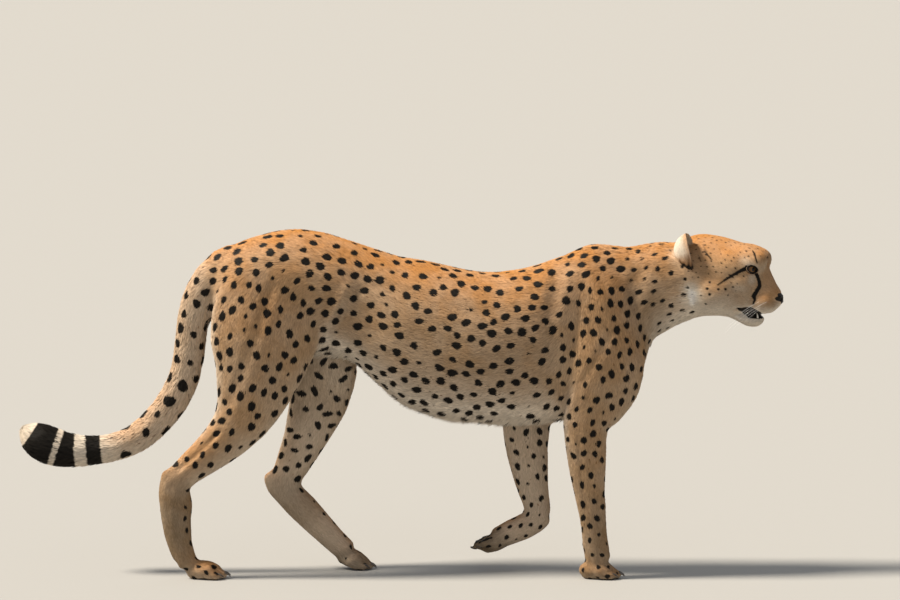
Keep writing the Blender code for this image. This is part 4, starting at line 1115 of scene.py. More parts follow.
# %% All dark marks together
def mark_edges(points, normals, groups):
    """Distances from points of skin or coat to the edges of the nearest dark mark and the nearest fleck."""
    dark = distance_to_spots(points, spots)
    small = distance_to_spots(points, flecks)
    on_head = on_line(groups, "head", "neck")
    own = in_head(points[on_head])
    drawn = [to_stroke(own, stroke) for stroke in STROKES] + [leather_edge(own)]
    drawn += [np.linalg.norm(own - np.array(spot[:3]), axis=1) - spot[3] / 1000 for spot in CHEEK_SPOTS]
    # painted shade over the brow, left off the middle of the forehead
    drawn += [to_stroke(own[:, [0, 2]], BROW_SHADE_LINE) + 0.1 * (own[:, 1] < 0.02)]
    drawn += [np.hypot(own[:, 0] - x, own[:, 2] - z) - WHISKER_DOT for x, z in WHISKER_ROOTS]
    drawn += [(round_the_gap(points[on_head], side) - LID_DARK) * DARK_WIDTH for side in EYES]
    dark[on_head] = np.minimum(dark[on_head], np.min(drawn, axis=0))
    dark = np.minimum(dark, pad_edge(points))
    for side in SIDES:
        mine = on_line(groups, "ear_" + side)
        share, inside = up_the_ear(points[mine], normals[mine], side)
        ragged = 0.06 * np.sin(points[mine, 1] * 420) + 0.05 * np.sin(points[mine, 0] * 610 + 1.0)
        patch = np.abs(share + ragged - np.mean(EAR_DARK)) - np.ptp(EAR_DARK) / 2
        dark[mine] = np.where(inside, 1.0, patch * 0.020)
        small[mine] = np.where(inside, 1.0, (patch - 0.09) * 0.012)
    mine = on_line(groups, "tail")
    length = along_line(points[mine], LINES["tail"])[0]
    rings = np.min([np.abs(length - (a + b) / 2) - (b - a) / 2 for a, b in TAIL_RINGS], axis=0)
    dark[mine] = np.where(length > RINGS_FROM, rings, dark[mine])
    return dark, small


skin_dark, skin_small = mark_edges(skin_points, skin_normals, skin_group)
print("dark share of the skin", round(float((skin_dark < 0).mean()), 3))

# %% [markdown]
# Pale and warm parts
#
# The back is golden and the flanks are sandy. Belly, throat, muzzle and the insides of the legs are nearly
# white. Dusky brown is dirt on the feet and painted shade on the breast, flanks, inner thigh and tail's end.

# %% Pale, warm and dusky places, the dusky ones for dirt and for painted shade
# centre, radii in the head's own axes and how pale
PALE_PLACES = (
    # its own white, made whiter still as a painted highlight where the ruff catches the light
    ((-0.042, 0.073, -0.040), (0.036, 0.034, 0.044), 2.6),  # patch behind the cheek
    ((0.020, 0.060, -0.055), (0.070, 0.050, 0.036), 0.7),  # lower cheek
    ((0.100, 0.042, 0.004), (0.012, 0.016, 0.022), 0.9),  # inside the bend of the tear line
    ((0.100, 0.020, -0.104), (0.045, 0.045, 0.018), 1.0),  # chin
    ((0.136, 0.022, -0.068), (0.024, 0.024, 0.014), 1.1),  # upper lip
    ((0.085, 0.050, 0.046), (0.020, 0.016, 0.008), 0.8),  # over the eye
)
PALEST, TONE_BLUR = 1.6, 20
LEATHER_SOFT = 0.0008  # half the width over which fur gives way to leather
# dusky brown, both dirt on the feet and painted shade on what lies in the shade: middle, radii and how strong
DIRT_AND_SHADE_PLACES = (
    ((0.190, 0.076, 0.060), (0.090, 0.070, 0.060), 1.1),  # lifted forepaw
    ((-0.535, -0.070, 0.130), (0.070, 0.060, 0.170), 0.9),  # hind cannon, right
    ((-0.480, -0.069, 0.010), (0.080, 0.060, 0.050), 0.2),
    # partly dirt, partly a painted shadow
    ((0.470, -0.067, 0.060), (0.070, 0.060, 0.190), 0.6),  # foreleg, right
    ((-0.090, 0.076, 0.020), (0.090, 0.060, 0.050), 0.8),
    ((-0.250, 0.074, 0.170), (0.090, 0.060, 0.080), 0.5),
    # painted shadow of the body on the inner thigh
    ((-0.200, 0.050, 0.480), (0.120, 0.060, 0.160), 0.35),  # inner thigh, left
    # painted shade on the end of the tail
    ((-0.890, 0.000, 0.330), (0.050, 0.060, 0.070), 0.45),  # end of the tail
    # painted shade on the breast
    ((0.575, 0.000, 0.630), (0.070, 0.120, 0.120), 0.40),  # breast
    # partly a greyer coat, partly painted shade on the flanks
    ((0.080, -0.110, 0.570), (0.260, 0.060, 0.120), 0.28),  # flanks
    ((0.080, 0.110, 0.570), (0.260, 0.060, 0.120), 0.28),
)
# golden brown of the crown and of the nose's bridge, in the head's own axes
WARM_PLACES = (
    ((0.010, 0.030, 0.085), (0.070, 0.060, 0.050), 1.0),
    ((0.120, 0.000, 0.030), (0.030, 0.020, 0.050), 0.7),
)
print(len(PALE_PLACES), "pale,", len(WARM_PLACES), "warm and", len(DIRT_AND_SHADE_PLACES), "dusky places")


# %% Tones of the skin
def body_tones(points, normals, groups):
    """How pale and how warm each place is: one is cream or gold, and pale goes on to white."""
    up, out = normals[:, 2], normals[:, 1]
    pale = soft_step(-0.05, -0.75, up)
    warm = soft_step(-0.2, 0.95, up)
    for side, sign in SIDES.items():
        for leg in ("foreleg_", "hindleg_"):
            mine = on_line(groups, leg + side)
            inner = 0.45 * soft_step(-0.1, 0.75, -sign * out[mine])
            behind = 0.55 * soft_step(0.55, 0.95, -normals[mine, 0]) * (points[mine, 2] > 0.30)
            pale[mine] = np.maximum(np.maximum(pale[mine] * 0.5, inner), behind)
        mine = on_line(groups, "ear_" + side)
        pale[mine], warm[mine] = ear_tones(points[mine], normals[mine], side)
    mine = on_line(groups, "head")
    own = in_head(points[mine])
    pale[mine] = np.maximum(pale[mine], np.minimum(strongest(own, PALE_PLACES), PALEST))
    warm[mine] = np.maximum(warm[mine], strongest(own, WARM_PLACES))
    warm[mine] *= soft_step(-0.062, -0.045, own[:, 2])
    pale[mine] = np.maximum(pale[mine], soft_step(-0.068, -0.084, own[:, 2]))
    mine = on_line(groups, "tail")
    length = along_line(points[mine], LINES["tail"])[0]
    pale[mine] = np.maximum(0.3 + 0.5 * soft_step(0.1, -0.8, up[mine]), soft_step(0.45, 0.60, length))
    return pale, warm


def ear_tones(points, normals, side):
    """How pale and how warm an ear is: pale inside and at its back's tip, but not along its front edge."""
    share, inside = up_the_ear(points, normals, side)
    back = points[~inside & (share > 0.3)]
    middle = np.mean([back.min(0), back.max(0)], axis=0)
    front = soft_step(0.006, 0.016, (points - middle) @ np.array(head_way(1, 0, 0.45)))
    tip_pale = soft_step(EAR_PALE - 0.10, EAR_PALE + 0.14, share)
    pale = np.where(inside, 0.75, tip_pale * (1 - 0.9 * front))
    return pale, np.where(inside, 0.2, 0.8)


def bare_skin():
    """One on the leather of nose, lips and pads, nothing on the rest of the skin."""
    mine = on_line(skin_group, "head")
    edge = np.ones(len(skin_points))
    edge[mine] = leather_edge(in_head(skin_points[mine]))
    return 1 - soft_step(-LEATHER_SOFT, LEATHER_SOFT, np.minimum(edge, pad_edge(skin_points)))


def store(mesh, masks):
    """Keep masks on a mesh, a value for each point or one for them all."""
    for name, values in masks.items():
        values = np.broadcast_to(np.asarray(values, dtype=np.float32), len(mesh.vertices))
        mesh.attributes.new(name, "FLOAT", "POINT").data.foreach_set("value", np.ascontiguousarray(values))


tones = relax(np.stack(body_tones(skin_points, skin_normals, skin_group), 1), skin.data, TONE_BLUR)
skin_pale, skin_warm = tones.T
# dusky brown: dirt on the feet and painted shade elsewhere
skin_dirt_and_shade = strongest(skin_points, DIRT_AND_SHADE_PLACES, 0.5)
store(skin.data, {"dark": skin_dark, "fleck": skin_small, "pale": skin_pale, "warm": skin_warm})
store(skin.data, {"dusk": skin_dirt_and_shade, "tone": 0.5, "leather": bare_skin()})
print("pale", round(float(skin_pale.mean()), 3), "warm", round(float(skin_warm.mean()), 3))

# %% [markdown]
# One group of shader nodes for every piece of fur
#
# It turns the stored masks into a colour, and gives a fine streaky height for the bump. All furs use it, so
# the markings run on from the skin into the coat and from piece to piece.

# %% Tools for shader nodes
SAND, GOLD = (0.41, 0.262, 0.142), (0.47, 0.208, 0.058)
CREAM, WHITE = (0.66, 0.57, 0.46), (0.88, 0.84, 0.79)
# the dusky brown is both dirt and painted shade
BLACK, BROWN, DIRT_AND_SHADE_BROWN = (0.010, 0.008, 0.006), (0.16, 0.075, 0.030), (0.165, 0.110, 0.058)
EDGE_SOFT, LEATHER_ROUGH = 0.0011, 0.42


def add(tree, kind, **settings):
    node = tree.nodes.new(kind)
    for key, value in settings.items():
        setattr(node, key, value)
    return node


def mixed(tree, factor, first, second, blend="MIX"):
    node = add(tree, "ShaderNodeMix", data_type="RGBA", blend_type=blend)
    for socket, value in ((0, factor), (6, first), (7, second)):
        if isinstance(value, bpy.types.NodeSocket):
            tree.links.new(value, node.inputs[socket])
        else:
            node.inputs[socket].default_value = value if socket == 0 else (*value, 1)
    return node.outputs[2]


def ranged(tree, value, low, high, to_low=0.0, to_high=1.0):
    node = add(tree, "ShaderNodeMapRange", interpolation_type="SMOOTHSTEP")
    tree.links.new(value, node.inputs["Value"])
    for name, number in (("From Min", low), ("From Max", high), ("To Min", to_low), ("To Max", to_high)):
        node.inputs[name].default_value = number
    return node.outputs["Result"]


def attribute(tree, name):
    return add(tree, "ShaderNodeAttribute", attribute_name=name).outputs["Fac"]


def texture(tree, kind, **settings):
    """A texture over the object's own places, with its inputs by their names."""
    node = add(tree, kind)
    for key, value in settings.items():
        node.inputs[key].default_value = value
    tree.links.new(add(tree, "ShaderNodeTexCoord").outputs["Object"], node.inputs["Vector"])
    return node


def bump(tree, shader, height, distance):
    lift = add(tree, "ShaderNodeBump")
    lift.inputs["Distance"].default_value = distance
    tree.links.new(height, lift.inputs["Height"])
    tree.links.new(lift.outputs["Normal"], shader.inputs["Normal"])


print("colours from sand to white and black ready")


# %% Fur colour group
def fur_group():
    group = bpy.data.node_groups.new("fur_colour", "ShaderNodeTree")
    group.interface.new_socket("Streaks", in_out="INPUT", socket_type="NodeSocketFloat").default_value = 0.5
    group.interface.new_socket("Colour", in_out="OUTPUT", socket_type="NodeSocketColor")
    group.interface.new_socket("Height", in_out="OUTPUT", socket_type="NodeSocketFloat")
    group.interface.new_socket("Bare", in_out="OUTPUT", socket_type="NodeSocketFloat")
    into, out = add(group, "NodeGroupInput"), add(group, "NodeGroupOutput")
    patches = texture(group, "ShaderNodeTexNoise", Scale=14, Detail=4)
    fine = texture(group, "ShaderNodeTexNoise", Scale=420, Detail=3)
    colour = mixed(group, attribute(group, "warm"), SAND, GOLD)
    colour = mixed(group, attribute(group, "pale"), colour, CREAM)
    # pale past one goes on to white: the upper lip's own white, and the cheek patch, partly a painted
    # highlight
    colour = mixed(group, ranged(group, attribute(group, "pale"), 1.0, 1.6), colour, WHITE)
    # dusky brown: dirt on the feet and painted shade
    colour = mixed(group, attribute(group, "dusk"), colour, DIRT_AND_SHADE_BROWN)
    lighter = mixed(group, ranged(group, patches.outputs["Fac"], 0.35, 0.65, 0.0, 0.16), colour, CREAM)
    fleck = ranged(group, attribute(group, "fleck"), -EDGE_SOFT, EDGE_SOFT, 0.75, 0.0)
    colour = mixed(group, fleck, lighter, BROWN)
    dark = ranged(group, attribute(group, "dark"), -EDGE_SOFT, EDGE_SOFT, 1.0, 0.0)
    colour = mixed(group, dark, colour, BLACK)
    shade = ranged(group, attribute(group, "tone"), 0.0, 1.0, 0.74, 1.22)
    tint = add(group, "ShaderNodeCombineColor")
    for socket in tint.inputs:
        if socket.type == "VALUE":
            group.links.new(shade, socket)
    colour = mixed(group, 1.0, colour, tint.outputs[0], "MULTIPLY")
    pebbles = texture(group, "ShaderNodeTexVoronoi", Scale=650)
    grain = mixed(group, attribute(group, "leather"), (0.0, 0.0, 0.0), (0.0, 0.0, 0.0))
    for value, socket in ((fine.outputs["Fac"], 6), (pebbles.outputs["Distance"], 7)):
        group.links.new(value, grain.node.inputs[socket])
    height = add(group, "ShaderNodeMath", operation="MULTIPLY")
    group.links.new(grain, height.inputs[0])
    group.links.new(into.outputs["Streaks"], height.inputs[1])
    group.links.new(attribute(group, "leather"), out.inputs["Bare"])
    group.links.new(colour, out.inputs["Colour"])
    group.links.new(height.outputs[0], out.inputs["Height"])
    return group


FUR_GROUP = fur_group()
print("fur colour group of", len(FUR_GROUP.nodes), "nodes")


# %% Dress the skin
def fur_material(name, roughness, streaks, height):
    made, tree, shader = new_material(name, {"Specular IOR Level": 0.12})
    group = add(tree, "ShaderNodeGroup", node_tree=FUR_GROUP)
    group.inputs["Streaks"].default_value = streaks
    rough = ranged(tree, group.outputs["Bare"], 0.0, 1.0, roughness, LEATHER_ROUGH)
    tree.links.new(rough, shader.inputs["Roughness"])
    tree.links.new(group.outputs["Colour"], shader.inputs["Base Color"])
    bump(tree, shader, group.outputs["Height"], height)
    return made


skin.data.materials.clear()
skin.data.materials.append(fur_material("short_fur", 0.75, 0.6, 0.0006))
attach(skin, "root")
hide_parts(*FLESH)
print("skin dressed")

# %% [markdown]
# The coat
#
# Every lock is a thin closed spike of three sides that starts just under the skin, lies along it in the
# direction of the hair and ends at the surface of the solid model. Longer hair, on the tail, belly and
# nape, bends once on its way. Locks are dealt out evenly over the skin's triangles, and each takes its
# colour from the marks a little past its root, which feathers the edges of the spots as hair does.

# %% Deal out the roots
LOCKS_MORE = 1.15  # locks for each square of the distance between them
LID_BARE, BARE_SINK = 1.32, 0.0004


def even_roots():
    """Triangle and corner weights for each lock's root."""
    corners, area = corners_of(skin.data), triangle_areas()
    spacing = skin_coat[corners, 3].mean(1)
    wanted = np.cumsum(area / spacing**2 * LOCKS_MORE)
    upto = np.floor(wanted + 0.5).astype(np.int64)
    counts = np.diff(np.concatenate([[0], upto]))
    face = np.repeat(np.arange(len(corners)), counts)
    mix = RANDOM.uniform(size=(len(face), 2))
    root = np.sqrt(mix[:, 0])
    weights = np.stack([1 - root, root * (1 - mix[:, 1]), root * mix[:, 1]], 1)
    return corners[face], weights, area.sum()


root_corners, root_weights, skin_area = even_roots()


def bare(points, groups):
    """True on the nose, the lips, the pads and the inner faces of the lids, where no hair grows."""
    found = np.zeros(len(points), dtype=bool)
    mine = on_line(groups, "head")
    found[mine] = leather_edge(in_head(points[mine])) < -BARE_SINK
    found |= pad_edge(points) < -BARE_SINK
    for side in EYES:
        found |= round_the_gap(points, side) < LID_BARE
    return found


at = (skin_points[root_corners] * root_weights[:, :, None]).sum(1)
hairy = ~bare(at, skin_group[root_corners[:, 0]])
root_corners, root_weights = root_corners[hairy], root_weights[hairy]


def at_roots(values):
    taken = values[root_corners]
    if taken.ndim == 2:
        return (taken * root_weights).sum(1)
    return (taken * root_weights[:, :, None]).sum(1)


root = at_roots(skin_points)
root_normal = unit(at_roots(skin_normals))
root_lie = flat_on(at_roots(skin_lie), root_normal)
root_coat = at_roots(skin_coat)
root_group = skin_group[root_corners[:, 0]]
root_pale, root_warm, root_dirt_and_shade = at_roots(skin_pale), at_roots(skin_warm), at_roots(skin_dirt_and_shade)
print("skin area", round(float(skin_area), 2), "m2, locks", len(root))


# %% Bend them over the skin
BURIED = 0.0006  # how deep a lock's root is under the skin
LENGTHS, WIDTHS, RISES = (0.75, 1.2), (0.8, 1.2), (0.55, 0.95)  # how much locks differ
SWAY = 0.16
LID_HAIR, LID_HAIR_REACH = 0.45, (1.3, 3.0)  # the hair is short round the eyes
MANE, MANE_RISE = ((0.540, 0.000, 0.810), (0.190, 0.045, 0.050)), 1.1
# locks longer than this bend, where and how high on their way, and droop under the belly
LONG_FROM, LONG_FADE, BEND_AT, BEND_RISE = 0.0170, 0.006, 0.5, 0.62
DROOP, DROOPS = 0.40, (0.2, 1.2)
LOOK_AT = 0.6  # where on its length a lock looks up its marks
skin_tree = BVHTree.FromPolygons(skin_points.tolist(), [tuple(p.vertices) for p in skin.data.polygons])


def laid(points, height):
    """Points moved to a height above the skin nearest to them."""
    found = [skin_tree.find_nearest(p) for p in points.tolist()]
    place = np.array([tuple(hit[0]) for hit in found])
    normal = np.array([tuple(hit[1]) for hit in found])
    return place + normal * height[:, None], normal


count = len(root)
lock_length = root_coat[:, 1] * RANDOM.uniform(*LENGTHS, count)
for side in EYES:
    lock_length *= LID_HAIR + (1 - LID_HAIR) * soft_step(*LID_HAIR_REACH, round_the_gap(root, side))
lock_width = root_coat[:, 2] * RANDOM.uniform(*WIDTHS, count)
turn = RANDOM.normal(0, SWAY, count)[:, None]
across = np.cross(root_normal, root_lie)
root_way = unit(root_lie * np.cos(turn) + across * np.sin(turn))
rise = RANDOM.uniform(*RISES, count) * root_coat[:, 0]
rise *= 1 + MANE_RISE * within(root, *MANE) ** 0.5 * RANDOM.uniform(0, 1, count)
tip, tip_normal = laid(root + root_way * lock_length[:, None], rise)
long_lock = root_coat[:, 1] > LONG_FROM
bend, bend_normal = np.zeros((count, 3)), np.zeros((count, 3))
halfway = (root + root_way * lock_length[:, None] * BEND_AT)[long_lock]
bend[long_lock], bend_normal[long_lock] = laid(halfway, rise[long_lock] * BEND_RISE)
droop = lock_length * np.clip((root_coat[:, 1] - LONG_FROM) / LONG_FADE, 0, 1) * DROOP
droop *= RANDOM.uniform(*DROOPS, count)
hangs = long_lock & (root_normal[:, 2] < -0.2) & on_line(root_group, "trunk")
tip[:, 2] -= np.where(hangs, droop, 0)
look_at = root + root_way * (lock_length * LOOK_AT)[:, None]
own_marks, root_marks, tip_marks = (mark_edges(p, root_normal, root_group) for p in (look_at, root, tip))
own_share = np.where(long_lock, 0.12, 0.45)[:, None]  # the rest follows the place under each corner
lock_tone = np.clip(RANDOM.normal(0.5, 0.2, count), 0, 1)
print("locks laid")


# %% The shape of a lock and its place on the flat map
PATCH = 0.003
MOST_TRIANGLES = 196_000
RIDGE = 0.34  # height of a lock over its width
BEND_WIDTH, BEND_SUNK = 0.72, 0.3  # at the bend: share of the width, and the height that lies below
MAP_START, MAP_LONG = 0.005, 0.985


def unrolled(points, normals, name):
    """Places on the flat map of a limb: along its line and round it."""
    length, tangent, offset = along_line(points, LINES[name])
    if name in ("head", "neck", "trunk", "tail"):
        side = unit(np.cross(tangent, (0.0, 1.0, 0.0)))
    else:
        side = unit(np.cross(tangent, (0.0, 0.0, 1.0)) + (0, 1e-6, 0))
    other = unit(np.cross(tangent, side))
    turn = np.arctan2((offset * other).sum(1), (offset * side).sum(1)) / (2 * math.pi) + 0.5
    if name.startswith("ear"):
        turn = turn / 2 + 0.5 * ((offset * normals).sum(1) < 0)
    return length, turn


# One lock: its corners round the base, for a bent one round the bend too, then the tip
STRAIGHT = ((2, 0, 3), (1, 2, 3), (0, 1, 3), (1, 0, 2))
BENT = (
    (1, 0, 2), (0, 1, 4), (0, 4, 3), (1, 2, 5), (1, 5, 4), (2, 0, 3), (2, 3, 5),
    (3, 4, 6), (4, 5, 6), (5, 3, 6),
)
CELL_SHAPE = ((0.04, 0.04), (0.96, 0.04), (0.50, 0.96))


def cells(number):
    """Small triangles side by side within the unit square, as places for the faces of one lock."""
    wide = math.ceil(math.sqrt(number))
    corner = np.array([(k % wide, k // wide) for k in range(number)])
    return (corner[:, None] + np.array(CELL_SHAPE)[None]) / wide


def edges_out(up, across):
    """Outward directions on the two edges of a lock and on its ridge."""
    return [unit(up * 0.8 - across * 0.45), unit(up * 0.8 + across * 0.45), up]


def lock_points(mine, bent):
    """Corners and outward directions of locks: a three-sided base, a ridge, perhaps a bend, and a tip."""
    base, normal, way = root[mine], root_normal[mine], root_way[mine]
    across = np.cross(normal, way)
    half, thick = lock_width[mine, None] / 2, lock_width[mine, None] * RIDGE
    lower = base - normal * BURIED
    points = [lower - across * half, lower + across * half, base + normal * thick]
    outward = edges_out(normal, across)
    if bent:
        middle, up = bend[mine], bend_normal[mine]
        aside, sunk = across * half * BEND_WIDTH, up * thick * BEND_SUNK
        points += [middle - aside - sunk, middle + aside - sunk, middle + up * thick * (1 - BEND_SUNK)]
        outward += edges_out(up, across)
    points.append(tip[mine])
    outward.append(unit(tip_normal[mine] + way * 0.25))
    return np.stack(points, 1), np.stack(outward, 1).reshape(-1, 3)


def spike_mesh(name, mine, u, v, bent):
    """Closed locks, each with its own small patch on the map for baking."""
    count, corners = len(mine), np.array(BENT if bent else STRAIGHT)
    points, outward = lock_points(mine, bent)
    per_lock, faces_each = points.shape[1], len(corners)
    faces = (np.arange(count)[:, None, None] * per_lock + corners[None]).reshape(-1)
    mesh = bpy.data.meshes.new(name)
    mesh.vertices.add(count * per_lock)
    mesh.vertices.foreach_set("co", points.astype(np.float32).ravel())
    mesh.loops.add(len(faces))
    mesh.loops.foreach_set("vertex_index", faces.astype(np.int32))
    mesh.polygons.add(count * faces_each)
    mesh.polygons.foreach_set("loop_start", np.arange(0, len(faces), 3, dtype=np.int32))
    mesh.polygons.foreach_set("use_smooth", np.ones(count * faces_each, dtype=bool))
    mesh.update(calc_edges=True)
    places = np.stack([u, v], 1)[:, None, None] + (cells(faces_each) * PATCH)[None]
    mesh.uv_layers.new(name="OFBake").data.foreach_set("uv", places.astype(np.float32).ravel())
    mesh.normals_split_custom_set_from_vertices(outward)
    share = own_share[mine]
    for key, own, low, high in zip(("dark", "fleck"), own_marks, root_marks, tip_marks):
        along = [low[mine]] * 3 + [own[mine]] * (3 if bent else 0) + [high[mine]]
        store(mesh, {key: (own[mine, None] * share + np.stack(along, 1) * (1 - share)).ravel()})
    for key, values in {"pale": root_pale, "warm": root_warm, "dusk": root_dirt_and_shade, "tone": lock_tone}.items():
        store(mesh, {key: np.repeat(values[mine], per_lock)})
    return mesh


print("faces of a straight lock", len(STRAIGHT), "and of a bent one", len(BENT))

# %% Make the pieces of the coat
coat_material = fur_material("coat_fur", 0.62, 0.3, 0.0002)
coat = []
for number, line in enumerate(LINE_NAMES):
    for bent, kind in ((False, "coat"), (True, "long_coat")):
        mine = np.nonzero((root_group == number) & (long_lock == bent))[0]
        if not len(mine):
            continue
        length, turn = unrolled(root[mine], root_normal[mine], line)
        parts = max(1, math.ceil(len(mine) * len(BENT if bent else STRAIGHT) / MOST_TRIANGLES))
        for k, part in enumerate(np.array_split(np.argsort(length), parts)):
            here = length[part]
            u = MAP_START + MAP_LONG * (here - here.min()) / max(here.max() - here.min(), 1e-6)
            v = MAP_START + MAP_LONG * turn[part]
            name = f"{kind}_{line}" + (f"_{k + 1}" if parts > 1 else "")
            piece = new_object(name, spike_mesh(name, mine[part], u, v, bent))
            piece.data.materials.append(coat_material)
            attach(piece, "root")
            coat.append(piece)
            print(name, len(piece.data.polygons), "triangles")
print("coat", sum(len(p.data.polygons) for p in coat), "triangles in", len(coat), "pieces")

# %% [markdown]
# Eyes
#
# Each eye is a ball that bulges a little at the front. Its colour goes by the angle from the middle of the
# pupil: pupil, iris and the dark white of the eye, under a clear glossy coat. The iris is painted darker than
# its own amber, as painted shade under the brow. The lids are a black band, lofted from the ball out to the
# skin, that leaves an almond-shaped gap.

# %% Eyeballs
EYE_RADIUS = 0.0165
PUPIL_GAZE = math.radians(34)
PUPIL, IRIS, LIMBUS = math.radians(17), math.radians(40), math.radians(46)
CORNEA, CORNEA_RISE = math.radians(44), 0.0007
EYE_RINGS, EYE_SIDES = 48, 64


def loft_rings(name, rings, closed_ends=True):
    """A closed tube of quads through rings of equal count."""
    count = len(rings[0])
    points = [tuple(p) for ring in rings for p in ring]
    faces = []
    for k in range(len(rings) - 1):
        for i in range(count):
            j = (i + 1) % count
            faces.append((k * count + i, k * count + j, (k + 1) * count + j, (k + 1) * count + i))
    if closed_ends:
        faces.append(tuple(range(count))[::-1])
        faces.append(tuple((len(rings) - 1) * count + i for i in range(count)))
    mesh = bpy.data.meshes.new(name)
    mesh.from_pydata(points, [], faces)
    work = bmesh.new()
    work.from_mesh(mesh)
    bmesh.ops.remove_doubles(work, verts=work.verts, dist=1e-7)
    bmesh.ops.recalc_face_normals(work, faces=work.faces[:])
    work.to_mesh(mesh)
    work.free()
    smooth_faces(mesh)
    return mesh


def eye_material():
    shine = {"Roughness": 0.4, "Specular IOR Level": 0.1, "Coat Weight": 0.4, "Coat Roughness": 0.03}
    made, tree, shader = new_material("eye", shine)
    spread = attribute(tree, "open")
    streaks = texture(tree, "ShaderNodeTexNoise", Scale=900)
    # the iris's amber is darkened as painted shade under the brow
    amber = mixed(tree, streaks.outputs["Fac"], (0.060, 0.022, 0.005), (0.18, 0.075, 0.014))
    inner = mixed(tree, ranged(tree, spread, PUPIL, PUPIL + 0.14), (0.20, 0.095, 0.022), amber)
    outer = mixed(tree, ranged(tree, spread, IRIS - 0.12, IRIS), inner, (0.045, 0.018, 0.006))
    white = mixed(tree, ranged(tree, spread, IRIS, LIMBUS), outer, (0.020, 0.012, 0.009))
    colour = mixed(tree, ranged(tree, spread, PUPIL - 0.02, PUPIL + 0.02), (0.003, 0.003, 0.003), white)
    tree.links.new(colour, shader.inputs["Base Color"])
    return made


def eyeball(name, centre, axes):
    """A ball, its rings closer towards the pupil. Each point stores its angle from the pupil's middle."""
    gaze, slit, upright = axes
    around = [2 * math.pi * i / EYE_SIDES for i in range(EYE_SIDES)]
    outward = [slit * math.cos(t) + upright * math.sin(t) for t in around]
    rings = []
    for k in range(EYE_RINGS + 1):
        angle = math.pi * (k / EYE_RINGS) ** 1.4
        radius = EYE_RADIUS + CORNEA_RISE * math.cos(min(angle / CORNEA, 1) * math.pi / 2) ** 1.2
        rings.append([centre + radius * (gaze * math.cos(angle) + math.sin(angle) * way) for way in outward])
    mesh = loft_rings(name, rings, closed_ends=False)
    store(mesh, {"open": np.arccos(np.clip(unit(points_of(mesh) - centre) @ gaze, -1, 1))})
    return mesh


EYE_MATERIAL = eye_material()
for side, sign in SIDES.items():
    ball = new_object("eyeball_" + side, eyeball("eyeball_" + side, EYES[side], eye_axes(sign, PUPIL_GAZE)))
    ball.data.materials.append(EYE_MATERIAL)
    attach(ball, "root")
    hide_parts("eye_" + side)
    print(ball.name, len(ball.data.polygons), "faces")

# %% Lids
# rings of a lid: how wide they are, how far they lie from the ball towards the skin, and how they sink
LID_STEPS = ((1.00, 0.0), (1.05, 0.30), (1.12, 0.60), (1.22, 0.86), (1.36, 1.0), (1.52, 1.0), (1.70, 1.0))
LID_SINK = (0, 0, 0, 0.0002, 0.0003, -0.0002, -0.0014)
LID_THICK, LID_SIDES, LID_SMOOTH = 0.0016, 72, 3
LID_LEAST, LID_MOST = 0.0006, 0.009  # how far a lid's outer rings stand off the ball's clearance


def lid_way(axes, angle, widen):
    """Direction from the eye's centre to a place round the almond gap, widened."""
    gaze, slit, upright = axes
    widen = 1 + (widen - 1) * (1 - LID_INNER * max(-math.cos(angle), 0) ** 2)
    across = LID_GAP[0] * math.cos(angle)
    high = LID_GAP[1] * math.copysign(abs(math.sin(angle)) ** LID_POWER, math.sin(angle))
    return unit(gaze * LIDS_AHEAD + (slit * across + upright * high) * widen)


def lid_mesh(side, sign):
    axes, centre = eye_axes(sign), EYES[side]
    rings = []
    for (widen, share), sink in zip(LID_STEPS, LID_SINK):
        ring = []
        for i in range(LID_SIDES):
            way = lid_way(axes, 2 * math.pi * i / LID_SIDES, widen)
            hit = skin_tree.ray_cast(Vector(centre) + Vector(way) * 0.006, Vector(way), 0.05)[0]
            low = EYE_RADIUS + CORNEA_RISE + 0.0004
            high = np.linalg.norm(np.array(hit) - centre) if hit else low + 0.002
            high = min(max(high + sink, low + LID_LEAST), low + LID_MOST)
            ring.append(centre + way * (low + (high - low) * share))
        rings.append(ring)
    for k in range(1, len(rings)):
        ring = np.array(rings[k])
        for _ in range(LID_SMOOTH):
            ring = 0.5 * ring + 0.25 * (np.roll(ring, 1, 0) + np.roll(ring, -1, 0))
        rings[k] = list(ring)
    back = []
    for ring in reversed(rings[1:]):
        back.append([p + (centre - p) / np.linalg.norm(centre - p) * LID_THICK for p in ring])
    inner = [centre + unit(p - centre) * (EYE_RADIUS * 0.985) for p in rings[0]]
    return loft_rings("lid_" + side, [*rings, *back, inner, rings[0]], closed_ends=False)


for side, sign in SIDES.items():
    mesh = lid_mesh(side, sign)
    lid = new_object("lid_" + side, mesh)
    store(mesh, {"dark": (round_the_gap(points_of(mesh), side) - LID_DARK) * DARK_WIDTH})
    store(mesh, {"fleck": 1.0, "pale": 0.3, "warm": 0.5, "dusk": 0.0, "tone": 0.5, "leather": 0.0})
    lid.data.materials.append(skin.data.materials[0])
    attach(lid, "root")
    print(lid.name, len(mesh.polygons), "faces")

# %% [markdown]
# Teeth, whiskers and claws
#
# The open mouth shows the lower canine teeth. Whiskers are tapering tubes that leave the whisker pads in
# rows and bend back and down. A cheetah's claws are blunt and always show, so each toe ends in a short
# curved horn.

# %% Tapering tubes
def tube(name, path, radii, sides=8):
    """A closed tapering tube along a path."""
    path = np.array(path, dtype=float)
    tangents = unit(np.gradient(path, axis=0))
    guide = np.array((0.0, 0.0, 1.0)) if abs(tangents[0][2]) < 0.9 else np.array((0.0, 1.0, 0.0))
    rings = []
    for place, tangent, radius in zip(path, tangents, radii):
        u = unit(np.cross(tangent, guide))
        v = np.cross(tangent, u)
        turn = 2 * math.pi * np.arange(sides) / sides
        rings.append(place + radius * (u * np.cos(turn)[:, None] + v * np.sin(turn)[:, None]))
    return loft_rings(name, rings)


